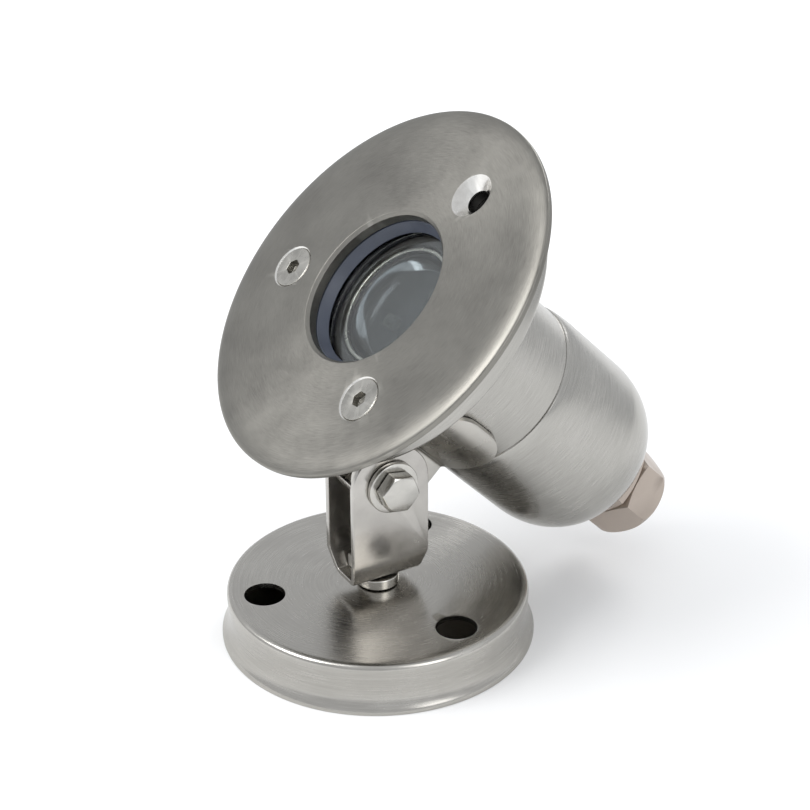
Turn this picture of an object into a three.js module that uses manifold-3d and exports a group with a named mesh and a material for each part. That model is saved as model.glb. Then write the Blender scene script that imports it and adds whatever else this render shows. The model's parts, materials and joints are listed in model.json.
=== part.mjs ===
// Underwater pool light: a stainless spot head on a tilting and swivelling foot.
// Millimetres, +Z up. The origin is the centre of the foot's underside, the tilt bolt runs along X and
// the head faces towards -Y and up.
import * as THREE from "three";
import { mergeVertices } from "three/addons/utils/BufferGeometryUtils.js";
import Module from "manifold-3d";

const wasm = await Module();
wasm.setup();

// ---------- driving dimensions ----------

const fitGap = 0.3; // left wherever two pieces touch, rest or screw together
const roundSides = 48;
const innerSides = 32;
const smallSides = 20;

// foot
const footRadius = 44.1;
const footHeight = 14.6;
const footTopInset = 1.6; // how much narrower each side is at the top
const footWaistInset = 2; // and at the waist
const footTopRadius = footRadius - footTopInset;
const footWaistRadius = footRadius - footWaistInset;
const footWaistHeight = 7.5;
const footRimHeight = 0.8; // straight edge of the flared rim
const footShoulder = 2.6;
const footWall = 1.5;
const footPlateThickness = 2;
const footHoleCount = 3;
const footHoleInset = 10.4; // from the top's edge in to the middle of a hole
const footHoleCircle = footTopRadius - footHoleInset;
const footAccessHole = 5.75; // radius of the holes that a screwdriver reaches through
const footScrewHole = 3.2; // radius of the holes that the floor screws clamp on
const footHoleAngle = -107.5; // degrees from +X

// bracket
const stripWidth = 23.5;
const stripThickness = 1.7;
const earHalfSpan = 8.05; // from the middle to an ear's outer face
const webHalfSpan = 5.4;
const webLift = 3.6; // from the foot's top to the web's underside
const earBendRise = 7.4; // from the web's underside to where the ears turn upright
const webTaper = 1.6; // how much narrower each side is at the web
const pivotHeight = 49.4;

// saddle that joins the head to the bracket
const saddleThickness = 1.5;
const saddleReach = 64; // degrees that it wraps up each side of the can
const saddleWebDrop = 8.2; // web's outer face below the tilt bolt
const saddleCorner = 9;
const sleeveRadius = 5;

// head, on its own axis: the rim's plane is 0, forward is positive
const canRadius = 25.4;
const canWall = 0.9;
const earHeadroom = 0.05; // between the ears' round ends and the saddle round the can
const restElevation = 45.6; // degrees the face looks above level
const pivotDrop = canRadius + fitGap + saddleThickness + stripWidth / 2 + earHeadroom;
const pivotSetback = 39.4; // from the rim's plane back to the tilt bolt

const seatStep = 2.2; // how much wider than the can the glass's recess is
const tubeSeatWall = 1.6;
const screwInset = 7.5; // from the recess out to the face screws
const collarLand = 10.8; // from the face screws out to the collar's edge
const rimOverhang = 9.1; // rim beyond the collar
const tubeSeatRadius = canRadius + seatStep; // recess that holds the glass
const faceScrewCircle = tubeSeatRadius + screwInset; // radius
const collarRadius = faceScrewCircle + collarLand;
const rimRadius = collarRadius + rimOverhang;

const faceTurn = 194.4; // degrees from +X to the first face screw
const rimDrop = 0.2; // from the rim's plane back to the end of its rolled shoulder
const rimEdge = 1.3; // depth of the rim's edge
const rimRoll = 7; // width of the rolled shoulder
const faceProud = 1.05; // front face ahead of the rim's plane
const faceThickness = 3.65;
const openingInset = 5.5; // from the recess in to the face's opening
const openingRadius = tubeSeatRadius - openingInset;
const openingChamfer = 0.9;
const faceScrewCount = 3;
const faceScrewsFitted = 2;
const screwRadius = 3; // M6
const screwHeadRadius = 5.9;
const screwHeadDepth = 3.1;
const screwSocket = 4; // across flats
const screwLength = 13;

const collarDepth = 13.4; // from the rim's plane to the collar's rear edge
const collarSheet = 2.4;
const seamSetback = 52; // where the rear cup starts
const cupLap = 6;
const cupStraight = 31; // straight part of the rear cup
const cupNose = 19.6; // length of its rounded end

const gasketLip = 1.9; // how far the gasket slopes in past the opening
const gasketThickness = 3;
const glassThickness = 3;
const sealThickness = 0.8;
const holderRoom = 5; // between the can and the lens holder
const holderWall = 2.5;
const holderRadius = canRadius - holderRoom;
const holderBore = holderRadius - holderWall;
const holderDepth = 13.5;
const bezelWidth = 1.1;
const bezelDepth = 1.2;
const lensRise = 2.2;
const lensFlange = 1;
const ledCount = 3;
const ledCircle = 7.5;
const ledSide = 3.4;
const ledHeight = 1.2;
const ledDome = 1.3; // radius
const boardThickness = 1.6;
const boardRoom = 4.4; // between the can and the boards
const driverRadius = canRadius - boardRoom;
const sinkLength = 18;
const sinkFins = 8;
const sinkBase = 4; // solid part next to the board
const standoffLength = 8;
const standoffInset = 4; // from the boards' edge in to the standoffs
const standoffFlats = 5;

// cable gland
const glandThread = 10.2; // radius
const glandHexWall = 1.8; // from the thread out to a flat
const glandFlats = (glandThread + glandHexWall) * 2; // across flats
const glandWall = 2; // of the threaded spigot and neck
const glandBore = glandThread - glandWall;
const glandBodyLength = 5.6;
const glandNutLength = 13.5;
const glandNutHole = 6;
const glandSealBore = 4.6;
const glandSealLength = 10;
const glandNeck = 9;
const glandWasher = 1.2;
const lockNutThickness = 4;
const cupLand = 3.4; // flat end of the rear cup round the gland's thread
const cupEndRadius = glandThread + cupLand;

// fasteners
const boltRadius = 3; // M6 tilt bolt
const boltFlats = 10;
const boltHeadHeight = 4;
const nutHeight = 5;
const washerRadius = 7.4;
const washerThickness = 1.6;
const springRadius = 5.9;
const springThickness = 1.6;
const springSlot = 1.2;
const boltTail = 2; // thread left showing past a nut
const swivelRadius = 2.5; // M5 swivel bolt
const swivelFlats = 8;
const swivelHeadHeight = 3.5;
const clampNutLength = 15;
const clampNutHeight = 4;

// ---------- colours ----------

function metal(color, roughness, metalness = 0.95) {
  return new THREE.MeshStandardMaterial({ color, roughness, metalness });
}

const satinSteel = metal(0xb9b6ae, 0.38);
const brushedFace = metal(0x9b9991, 0.45);
const brightSteel = metal(0xc9c6bf, 0.2);
const aluminium = metal(0xb6b8ba, 0.5);
const nickelBrass = metal(0xa0978e, 0.4);
const blueRubber = metal(0x4c5058, 0.7, 0);
const blackRubber = metal(0x1d1d1d, 0.8, 0);
const blackPlastic = metal(0x161616, 0.5, 0);
const clearGlass = metal(0xdfe6e8, 0.05, 0);
const boardWhite = metal(0xe8e8e4, 0.5, 0);
const boardGreen = metal(0x1f5a38, 0.5, 0);
const ledYellow = metal(0xe6cf6a, 0.3, 0);
const leadRed = metal(0x9c2a22, 0.6, 0);
const leadBlack = metal(0x202020, 0.6, 0);

// ---------- solids ----------

// A closed geometry as a solid that faces outwards.
function solid(geometry) {
  const bare = geometry.clone();
  for (const name of Object.keys(bare.attributes)) if (name !== "position") bare.deleteAttribute(name);
  const merged = mergeVertices(bare, 1e-4);
  const index = merged.index.array;
  const faces = [];
  for (let i = 0; i < index.length; i += 3) {
    const [a, b, c] = index.slice(i, i + 3);
    if (a !== b && b !== c && c !== a) faces.push(a, b, c);
  }
  const vertProperties = merged.attributes.position.array;
  const build = (corners) => {
    const triVerts = Uint32Array.from(corners);
    return new wasm.Manifold(new wasm.Mesh({ numProp: 3, vertProperties, triVerts }));
  };
  const made = build(faces);
  return made.volume() < 0 ? build(faces.reverse()) : made;
}

function cut(body, ...tools) {
  return tools.reduce((left, tool) => left.subtract(tool), body);
}

function join(body, ...others) {
  return others.reduce((left, other) => left.add(other), body);
}

// A closed profile of [radius, height] points turned round the Z axis.
function turned(profile, sides = roundSides) {
  const points = profile.map(([radius, height]) => new THREE.Vector2(Math.max(radius, 0), height));
  const onAxis = profile[0][0] === 0 && profile[profile.length - 1][0] === 0;
  if (!onAxis) points.push(points[0].clone());
  return solid(new THREE.LatheGeometry(points, sides).rotateX(Math.PI / 2));
}

function ring(inner, outer, low, high, sides = roundSides) {
  return turned([[inner, low], [outer, low], [outer, high], [inner, high]], sides);
}

function disc(radius, low, high, sides = smallSides) {
  return turned([[0, low], [radius, low], [radius, high], [0, high]], sides);
}

// A hexagonal bar with its ends chamfered as nuts and bolt heads are.
function hexBar(flats, low, high, chamferLow, chamferHigh) {
  const corner = flats / Math.sqrt(3);
  const bar = new THREE.CylinderGeometry(corner, corner, high - low, 6).rotateX(Math.PI / 2);
  const inner = flats / 2 - 0.2;
  const drop = (corner - inner) * 0.6;
  const limit = turned([
    [0, low - 1],
    [chamferLow ? inner : corner + 1, low - (chamferLow ? 0 : 1)],
    [corner + 0.1, low + drop],
    [corner + 0.1, high - drop],
    [chamferHigh ? inner : corner + 1, high + (chamferHigh ? 0 : 1)],
    [0, high + 1],
  ], smallSides);
  return solid(bar.translate(0, 0, (low + high) / 2)).intersect(limit);
}

// Points of an arc in degrees, ends included.
function arc(x, y, radiusX, radiusY, from, to, steps) {
  return Array.from({ length: steps + 1 }, (_, i) => {
    const angle = THREE.MathUtils.degToRad(from + ((to - from) * i) / steps);
    const point = [x + radiusX * Math.cos(angle), y + radiusY * Math.sin(angle)];
    return point.map((value) => (Math.abs(value) < 1e-9 ? 0 : value));
  });
}

// A flat outline extruded along an axis and centred on it. Along x the outline is (y, z), along y it is
// (x, z) and along z it is (x, y).
const outlineBasis = {
  x: [[0, 1, 0], [0, 0, 1], [1, 0, 0]],
  y: [[1, 0, 0], [0, 0, 1], [0, -1, 0]],
  z: [[1, 0, 0], [0, 1, 0], [0, 0, 1]],
};

function extruded(outline, depth, axis) {
  const shape = new THREE.Shape(outline.map(([x, y]) => new THREE.Vector2(x, y)));
  const geometry = new THREE.ExtrudeGeometry(shape, { depth, bevelEnabled: false, steps: 1 });
  const basis = outlineBasis[axis].map((direction) => new THREE.Vector3(...direction));
  return solid(geometry.translate(0, 0, -depth / 2).applyMatrix4(new THREE.Matrix4().makeBasis(...basis)));
}

// The outline of a strip of sheet bent along a centre line, with its corners rounded.
function bentStrip(centreLine, thickness, bend) {
  const path = new THREE.Path();
  const at = centreLine.map(([x, y]) => new THREE.Vector2(x, y));
  path.moveTo(at[0].x, at[0].y);
  for (let i = 1; i < at.length - 1; i++) {
    const before = at[i - 1].clone().sub(at[i]);
    const after = at[i + 1].clone().sub(at[i]);
    const straight = Math.abs(before.angleTo(after) - Math.PI) < 0.15;
    if (straight) path.lineTo(at[i].x, at[i].y);
    else {
      const start = at[i].clone().add(before.setLength(bend));
      const end = at[i].clone().add(after.setLength(bend));
      path.lineTo(start.x, start.y);
      path.quadraticCurveTo(at[i].x, at[i].y, end.x, end.y);
    }
  }
  const last = at[at.length - 1];
  path.lineTo(last.x, last.y);
  const points = path.getPoints(4);
  const sides = [[], []];
  points.forEach((point, i) => {
    const back = points[Math.max(i - 1, 0)];
    const ahead = points[Math.min(i + 1, points.length - 1)];
    const normal = ahead.clone().sub(back).normalize().rotateAround(new THREE.Vector2(), Math.PI / 2);
    sides[0].push([point.x + (normal.x * thickness) / 2, point.y + (normal.y * thickness) / 2]);
    sides[1].unshift([point.x - (normal.x * thickness) / 2, point.y - (normal.y * thickness) / 2]);
  });
  return [...sides[0], ...sides[1]];
}

function aroundZ(count, radius, startAngle, make) {
  return Array.from({ length: count }, (_, i) => {
    const angle = THREE.MathUtils.degToRad(startAngle + (360 * i) / count);
    return make(radius * Math.cos(angle), radius * Math.sin(angle), i);
  });
}

// ---------- the scene ----------

const light = new THREE.Group();

// The tilt bolt's own frame, and in it the head's own frame with +Z out through the glass.
const pivot = new THREE.Group();
pivot.position.z = pivotHeight;
light.add(pivot);

const tilted = new THREE.Group();
tilted.rotation.x = THREE.MathUtils.degToRad(90 - restElevation);
pivot.add(tilted);

const head = new THREE.Group();
head.position.set(0, pivotDrop, pivotSetback);
tilted.add(head);

function place(parent, name, body, material) {
  const { vertProperties, triVerts, numProp } = body.getMesh();
  if (numProp !== 3) throw new Error(`${name} carries more than positions`);
  const geometry = new THREE.BufferGeometry();
  geometry.setAttribute("position", new THREE.BufferAttribute(new Float32Array(vertProperties), 3));
  geometry.setIndex(new THREE.BufferAttribute(new Uint32Array(triVerts), 1));
  const mesh = new THREE.Mesh(geometry, material);
  mesh.name = name;
  parent.add(mesh);
}

// ---------- foot ----------

const footCeiling = footHeight - footWall;
const webUnder = footHeight + webLift;
const webTop = webUnder + stripThickness;

// Points of the concave flare from the waist down to the rim's straight edge.
function footFlare(steps) {
  return Array.from({ length: steps + 1 }, (_, i) => {
    const drop = i / steps;
    const spread = (footRadius - footWaistRadius) * drop ** 2;
    return [footWaistRadius + spread, footWaistHeight + (footRimHeight - footWaistHeight) * drop];
  });
}

// Pressed cup with a rounded shoulder, a slight waist and a flared rim.
function footCup() {
  const outer = [
    ...arc(footTopRadius - footShoulder, footHeight - footShoulder, footShoulder, footShoulder, 90, 0, 5),
    ...footFlare(5),
    [footRadius, 0],
  ];
  const inner = outer.map(([radius, height]) => [radius - footWall, Math.min(height, footCeiling)]).reverse();
  inner[inner.length - 1][0] = footTopRadius - footShoulder - footWall;
  const body = turned([[0, footHeight], ...outer, ...inner, [0, footCeiling]]);
  const holes = aroundZ(footHoleCount, footHoleCircle, footHoleAngle, (x, y) =>
    disc(footAccessHole, footCeiling - 1, footHeight + 1).translate([x, y, 0]),
  );
  return cut(body, disc(swivelRadius + fitGap, footCeiling - 1, footHeight + 1), ...holes);
}

// Closing plate that the floor screws clamp on.
function footPlate() {
  const holes = aroundZ(footHoleCount, footHoleCircle, footHoleAngle, (x, y) =>
    disc(footScrewHole, -1, footPlateThickness + 1).translate([x, y, 0]),
  );
  const radius = footWaistRadius - footWall - fitGap;
  return cut(disc(radius, 0, footPlateThickness, roundSides), ...holes);
}

// Split spring washer lying between two heights.
function springWasher(shankRadius, low, gapAngle) {
  const slot = solid(new THREE.BoxGeometry(springRadius * 2, springSlot, springThickness * 3));
  const placed = slot.translate([springRadius, 0, low + springThickness / 2]).rotate([0, 0, gapAngle]);
  return cut(ring(shankRadius + fitGap, springRadius, low, low + springThickness, smallSides), placed);
}

place(light, "foot_cup", footCup(), satinSteel);
place(light, "foot_plate", footPlate(), satinSteel);

const spacerLow = footHeight + fitGap;
const spacerHigh = webUnder - fitGap;
const spacer = ring(swivelRadius + fitGap, springRadius, spacerLow, spacerHigh, smallSides);
place(light, "swivel_spacer", spacer, brightSteel);

// The swivel bolt hangs head down inside the foot and pulls the web onto the spacer.
const clampLow = webTop + fitGap;
const clampHigh = clampLow + clampNutHeight;
const footWasherHigh = footCeiling - fitGap;
const footWasherLow = footWasherHigh - washerThickness;
const footSpringLow = footWasherLow - fitGap - springThickness;
const swivelHeadHigh = footSpringLow - fitGap;
const swivelHeadLow = swivelHeadHigh - swivelHeadHeight;

function swivelBolt() {
  const bolt = hexBar(swivelFlats, swivelHeadLow, swivelHeadHigh, true, false);
  return join(bolt, disc(swivelRadius, swivelHeadHigh - 1, clampHigh + 1));
}

const footWasher = ring(swivelRadius + fitGap, washerRadius, footWasherLow, footWasherHigh, smallSides);
place(light, "swivel_washer", footWasher, brightSteel);
place(light, "swivel_spring_washer", springWasher(swivelRadius, footSpringLow, 40), brightSteel);
place(light, "swivel_bolt", swivelBolt(), brightSteel);

// ---------- bracket ----------

// One strip bent to a U: upright ears, sloping shoulders and a narrow web, with round ear ends.
function bracket() {
  const half = stripThickness / 2;
  const webMiddle = webUnder + half;
  const earMiddle = earHalfSpan - half;
  const bendHeight = webUnder + earBendRise;
  const earTop = pivotHeight + stripWidth / 2 + 1;
  const line = [
    [-earMiddle, earTop],
    [-earMiddle, bendHeight],
    [-webHalfSpan + half, webMiddle],
    [webHalfSpan - half, webMiddle],
    [earMiddle, bendHeight],
    [earMiddle, earTop],
  ];
  const side = stripWidth / 2;
  const outline = [
    ...arc(0, pivotHeight, side, side, 0, 180, 16),
    [-side, bendHeight],
    [-side + webTaper, webUnder - 1],
    [side - webTaper, webUnder - 1],
    [side, bendHeight],
  ];
  const strip = extruded(bentStrip(line, stripThickness, 1.8), stripWidth + 2, "y");
  const tiltHole = disc(boltRadius + fitGap, -earHalfSpan - 1, earHalfSpan + 1).rotate([0, 90, 0]);
  const webHole = disc(swivelRadius + fitGap, webUnder - 1, webTop + 1);
  const folded = strip.intersect(extruded(outline, earHalfSpan * 2 + 2, "x"));
  return cut(folded, tiltHole.translate([0, 0, pivotHeight]), webHole);
}

place(light, "bracket", bracket(), brightSteel);

// Long nut that lies on the web, narrow enough to sit between the sloping shoulders.
function clampNut() {
  const width = (webHalfSpan - stripThickness - 0.2) * 2;
  const bar = solid(new THREE.BoxGeometry(width, clampNutLength, clampNutHeight));
  const thread = disc(swivelRadius + fitGap, clampLow - 1, clampHigh + 1);
  return cut(bar.translate([0, 0, clampLow + clampNutHeight / 2]), thread);
}

place(light, "clamp_nut", clampNut(), satinSteel);

// ---------- tilt bolt ----------

// Pieces on the tilt bolt are made along Z and laid along X, head on the +X side.
function alongX(body) {
  return body.rotate([0, 90, 0]);
}

const nearWasherLow = earHalfSpan + fitGap;
const tiltHeadLow = nearWasherLow + washerThickness + fitGap;
const farWasherHigh = -earHalfSpan - fitGap;
const farSpringHigh = farWasherHigh - washerThickness - fitGap;
const tiltNutHigh = farSpringHigh - springThickness - fitGap;
const tiltNutLow = tiltNutHigh - nutHeight;

function tiltWasher(low) {
  return alongX(ring(boltRadius + fitGap, washerRadius, low, low + washerThickness, smallSides));
}

function tiltBolt() {
  const bolt = hexBar(boltFlats, tiltHeadLow, tiltHeadLow + boltHeadHeight, false, true);
  return alongX(join(bolt, disc(boltRadius, tiltNutLow - boltTail, tiltHeadLow + 1)));
}

function tiltNut() {
  const nut = hexBar(boltFlats, tiltNutLow, tiltNutHigh, true, true);
  return alongX(cut(nut, disc(boltRadius + fitGap, tiltNutLow - 1, tiltNutHigh + 1)));
}

place(pivot, "tilt_washer_near", tiltWasher(nearWasherLow), brightSteel);
place(pivot, "tilt_washer_far", tiltWasher(farWasherHigh - washerThickness), brightSteel);
const farSpring = springWasher(boltRadius, farSpringHigh - springThickness, 130);
place(pivot, "tilt_spring_washer", alongX(farSpring), brightSteel);
place(pivot, "tilt_bolt", tiltBolt(), brightSteel);
place(pivot, "tilt_nut", tiltNut(), brightSteel);

// ---------- saddle ----------

const cheekHalfSpan = earHalfSpan - stripThickness - fitGap; // outer faces of the saddle's cheeks
const saddleInner = canRadius + fitGap;

// A strip folded to a narrow U between the ears, whose ends spread and wrap round the can.
function saddle() {
  const half = saddleThickness / 2;
  const wrap = saddleInner + half;
  const cheek = cheekHalfSpan - half;
  const joint = THREE.MathUtils.radToDeg(Math.acos(cheek / wrap));
  const web = -(pivotDrop + saddleWebDrop - half);
  const right = arc(0, 0, wrap, wrap, saddleReach - 90, -joint, 7);
  const left = right.map(([x, y]) => [-x, y]).reverse();
  const line = [...right, [cheek, web], [-cheek, web], ...left];
  const strip = extruded(bentStrip(line, saddleThickness, 1.6), stripWidth, "z");
  const boltBore = alongX(disc(boltRadius + fitGap, -earHalfSpan, earHalfSpan)).translate([0, -pivotDrop, 0]);
  return cut(strip, boltBore, ...saddleCornerCuts()).translate([0, 0, -pivotSetback]);
}

// Tools that round the saddle's four weld ends and its two lower corners, seen from the side.
function saddleCornerCuts() {
  const side = stripWidth / 2;
  const tools = [];
  const top = -saddleInner * Math.cos(THREE.MathUtils.degToRad(saddleReach));
  const reach = saddleInner * Math.sin(THREE.MathUtils.degToRad(saddleReach));
  for (const end of [-1, 1]) {
    const low = -(pivotDrop + saddleWebDrop);
    const corner = [
      [end * (side + 1), low - 1],
      [end * (side - saddleCorner), low - 1],
      ...arc(end * (side - saddleCorner), low + saddleCorner, end * saddleCorner, saddleCorner, -90, 0, 4),
      [end * (side + 1), low + saddleCorner],
    ];
    tools.push(extruded(corner.map(([z, y]) => [y, z]), cheekHalfSpan * 2 + 4, "x"));
    for (const flank of [-1, 1]) {
      const weld = [
        [end * (side + 1), 1],
        [end * (side - saddleCorner), 1],
        ...arc(end * (side - saddleCorner), -saddleCorner, end * saddleCorner, saddleCorner, 90, 0, 4),
        [end * (side + 1), -saddleCorner],
      ];
      const tool = extruded(weld.map(([z, y]) => [y, z]), 12, "x").rotate([0, 0, flank * (saddleReach - 90)]);
      tools.push(tool.translate([flank * reach, top, 0]));
    }
  }
  return tools;
}

place(head, "saddle", saddle(), satinSteel);

const sleeveHalf = cheekHalfSpan - saddleThickness - fitGap;
const sleeve = ring(boltRadius + fitGap, sleeveRadius, -sleeveHalf, sleeveHalf, smallSides);
place(pivot, "pivot_sleeve", alongX(sleeve), brightSteel);

// ---------- head: face ring and its screws ----------

const faceBack = faceProud - faceThickness;

// Heights of the stack behind the face, each resting on the one before.
const gasketHigh = faceBack - fitGap;
const gasketLow = gasketHigh - gasketThickness;
const glassHigh = gasketLow - fitGap;
const glassLow = glassHigh - glassThickness;
const sealHigh = glassLow - fitGap;
const sealLow = sealHigh - sealThickness;
const seatFloor = sealLow - fitGap;

const faceScrewHole = screwRadius + fitGap;

function countersink() {
  const mouth = screwHeadRadius + fitGap + 0.2;
  return turned([
    [0, faceProud + 1],
    [mouth, faceProud + 1],
    [mouth, faceProud],
    [faceScrewHole, faceProud - screwHeadDepth],
    [faceScrewHole, faceBack - 1],
    [0, faceBack - 1],
  ], smallSides);
}

// Thick turned ring with a rolled shoulder and a chamfered opening.
function faceRing() {
  const body = turned([
    [openingRadius, faceBack],
    [openingRadius, faceProud - openingChamfer],
    [openingRadius + openingChamfer, faceProud],
    [rimRadius - rimRoll, faceProud],
    ...arc(rimRadius - rimRoll, -rimDrop, rimRoll, faceProud + rimDrop, 75, 0, 5),
    [rimRadius, -rimDrop - rimEdge + 0.5],
    [rimRadius - 0.5, -rimDrop - rimEdge],
    [rimRadius - 2.6, faceBack],
  ], roundSides + 16);
  const sinks = aroundZ(faceScrewCount, faceScrewCircle, faceTurn, (x, y) =>
    countersink().translate([x, y, 0]),
  );
  return cut(body, ...sinks);
}

// Countersunk screw with a hexagon socket.
function faceScrew() {
  const top = faceProud - 0.1;
  const body = turned([
    [0, top],
    [screwHeadRadius, top],
    [screwHeadRadius, top - 0.3],
    [screwRadius, top - screwHeadDepth],
    [screwRadius, top - screwLength],
    [0, top - screwLength],
  ], smallSides);
  return cut(body, hexBar(screwSocket, top - screwHeadDepth * 0.7, top + 1, false, false));
}

place(head, "face_ring", faceRing(), brushedFace);

const collarFront = faceBack - fitGap;
const collarFloor = collarFront - collarSheet;
const weldNutHigh = collarFloor - fitGap;
aroundZ(faceScrewCount, faceScrewCircle, faceTurn, (x, y, i) => {
  if (i < faceScrewsFitted) place(head, `face_screw_${i + 1}`, faceScrew().translate([x, y, 0]), brightSteel);
  const nut = cut(
    hexBar(boltFlats, weldNutHigh - nutHeight, weldNutHigh, true, true),
    disc(faceScrewHole, weldNutHigh - nutHeight - 1, weldNutHigh + 1),
  );
  const flatInwards = faceTurn + (360 * i) / faceScrewCount;
  place(head, `weld_nut_${i + 1}`, nut.rotate([0, 0, flatInwards]).translate([x, y, 0]), satinSteel);
});

// ---------- head: housing ----------

// Spun collar, glass seat and front tube in one piece.
function housing() {
  const tubeEnd = -seamSetback - cupLap;
  const hub = tubeSeatRadius + tubeSeatWall;
  const seatUnder = seatFloor - 1.6;
  const body = turned([
    [tubeSeatRadius, collarFront],
    [collarRadius - 1, collarFront],
    [collarRadius, collarFront - 1],
    [collarRadius, -collarDepth + 0.6],
    [collarRadius - 0.6, -collarDepth],
    [collarRadius - collarSheet + 0.4, -collarDepth],
    [collarRadius - collarSheet, -collarDepth + 0.6],
    [collarRadius - collarSheet, collarFloor],
    [hub, collarFloor],
    [hub, seatUnder - 0.8],
    [hub - 1.2, seatUnder - 2],
    [canRadius, seatUnder - 2],
    [canRadius, tubeEnd],
    [canRadius - canWall, tubeEnd],
    [canRadius - canWall, seatUnder],
    [holderRadius + 1.6, seatUnder],
    [holderRadius + 1.6, seatFloor],
    [tubeSeatRadius, seatFloor],
  ]);
  const holes = aroundZ(faceScrewCount, faceScrewCircle, faceTurn, (x, y) =>
    disc(faceScrewHole, collarFloor - 1, collarFront + 1).translate([x, y, 0]),
  );
  return cut(body, ...holes);
}

const cupRadius = canRadius + fitGap + canWall;
const cupEnd = -(seamSetback + cupStraight + cupNose);

// Deep-drawn rear cup that laps over the tube, with a rounded end bored for the gland.
function rearCup() {
  const straightEnd = -(seamSetback + cupStraight);
  const noseRadius = cupRadius - cupEndRadius;
  const outer = [
    [cupRadius - 0.3, -seamSetback],
    [cupRadius, -seamSetback - 0.3],
    ...arc(cupEndRadius, straightEnd, noseRadius, cupNose, 0, -90, 9),
    [glandThread + fitGap, cupEnd],
  ];
  const inner = [
    [glandThread + fitGap, cupEnd + canWall],
    ...arc(cupEndRadius, straightEnd, noseRadius - canWall, cupNose - canWall, -90, 0, 9),
    [cupRadius - canWall, -seamSetback],
  ];
  return turned([...outer, ...inner]);
}

place(head, "housing", housing(), satinSteel);
place(head, "rear_cup", rearCup(), satinSteel);

// ---------- head: glass, seals and optics ----------

const glassRadius = tubeSeatRadius - fitGap;

// Gasket whose bore slopes in from the face's opening to the glass.
function frontGasket() {
  return turned([
    [openingRadius - gasketLip, gasketLow],
    [glassRadius, gasketLow],
    [glassRadius, gasketHigh],
    [openingRadius, gasketHigh],
  ]);
}

place(head, "front_gasket", frontGasket(), blueRubber);
place(head, "glass", disc(glassRadius, glassLow, glassHigh, roundSides), clearGlass);
place(head, "rear_seal", ring(holderRadius + 2, glassRadius, sealLow, sealHigh, innerSides), blackRubber);

const holderHigh = glassLow - 0.6;
const holderLow = holderHigh - holderDepth;
const tubeFit = canRadius - canWall - fitGap;
const seatRadius = holderBore - fitGap; // what the lens flange and the bezel are turned to
const lensEdge = holderHigh + fitGap - 0.2 - lensRise;
const bezelLow = lensEdge + fitGap;
const lensBack = holderLow + ledHeight + ledDome + fitGap;

// Black holder: a tube that stands on the board, with a foot that centres it in the can.
function lensHolder() {
  const throat = seatRadius - bezelWidth - 0.6;
  const step = lensEdge - lensFlange - fitGap;
  return turned([
    [holderBore, holderHigh],
    [holderRadius, holderHigh],
    [holderRadius, holderLow + 1.6],
    [tubeFit, holderLow + 1.6],
    [tubeFit, holderLow],
    [throat, holderLow],
    [throat, step],
    [holderBore, step],
  ], innerSides);
}

// Collimating lens: a shallow dome in front, a flange under the bezel and a flat back over the LEDs.
function lens() {
  const domeRadius = seatRadius - bezelWidth - fitGap;
  const skirt = domeRadius - 0.8;
  return turned([
    ...arc(0, lensEdge, domeRadius, lensRise, 90, 0, 6),
    [seatRadius, lensEdge],
    [seatRadius, lensEdge - lensFlange],
    [skirt, lensEdge - lensFlange],
    [skirt - 2.5, lensBack],
    [0, lensBack],
  ], innerSides);
}

place(head, "lens_holder", lensHolder(), blackPlastic);
const bezel = ring(seatRadius - bezelWidth, seatRadius, bezelLow, bezelLow + bezelDepth, innerSides);
place(head, "lens_bezel", bezel, brightSteel);
place(head, "lens", lens(), clearGlass);

// ---------- head: LEDs, heat sink and driver ----------

const boardHigh = holderLow - fitGap;
const boardLow = boardHigh - boardThickness;
const sinkHigh = boardLow - fitGap;
const sinkLow = sinkHigh - sinkLength;
const leadRadius = 0.8;
const leadWay = 2.2; // radius of the hole that passes the leads
const leadWayCircle = 13;

function ledBoard() {
  const way = disc(leadWay, boardLow - 1, boardHigh + 1).translate([0, leadWayCircle, 0]);
  return cut(disc(driverRadius, boardLow, boardHigh, innerSides), way);
}

function led() {
  const low = boardHigh + fitGap;
  const chip = solid(new THREE.BoxGeometry(ledSide, ledSide, ledHeight));
  const square = chip.translate([0, 0, low + ledHeight / 2]);
  const top = low + ledHeight;
  const crown = arc(0, top, ledDome, ledDome * 0.8, 0, 90, 4);
  return join(square, turned([[0, top - 0.2], [ledDome, top - 0.2], ...crown], smallSides));
}

place(head, "led_board", ledBoard(), boardWhite);
aroundZ(ledCount, ledCircle, 90, (x, y, i) => {
  place(head, `led_${i + 1}`, led().translate([x, y, 0]), ledYellow);
});

// Finned aluminium slug that carries the LEDs' heat into the can.
function heatSink() {
  const slotMiddle = (sinkLength - sinkBase) / 2 - 1;
  const slots = aroundZ(sinkFins, tubeFit - 3, 22.5, (x, y, i) => {
    const slot = solid(new THREE.BoxGeometry(8, 2.4, sinkLength - sinkBase));
    return slot.rotate([0, 0, 22.5 + (360 * i) / sinkFins]).translate([x, y, sinkLow + slotMiddle]);
  });
  const way = disc(leadWay, sinkLow - 1, sinkHigh + 1).translate([0, leadWayCircle, 0]);
  return cut(disc(tubeFit, sinkLow, sinkHigh, innerSides), way, ...slots);
}

const standoffHigh = sinkLow - fitGap;
const standoffLow = standoffHigh - standoffLength;
const driverHigh = standoffLow - fitGap;
const driverLow = driverHigh - boardThickness;

function driverBoard() {
  const way = disc(leadWay, driverLow - 1, driverHigh + 1).translate([0, leadWayCircle, 0]);
  return cut(disc(driverRadius, driverLow, driverHigh, innerSides), way);
}

place(head, "heat_sink", heatSink(), aluminium);
place(head, "driver_board", driverBoard(), boardGreen);
aroundZ(2, driverRadius - standoffInset, 0, (x, y, i) => {
  const standoff = hexBar(standoffFlats, standoffLow, standoffHigh, false, false);
  place(head, `standoff_${i + 1}`, standoff.translate([x, y, 0]), nickelBrass);
});

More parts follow.
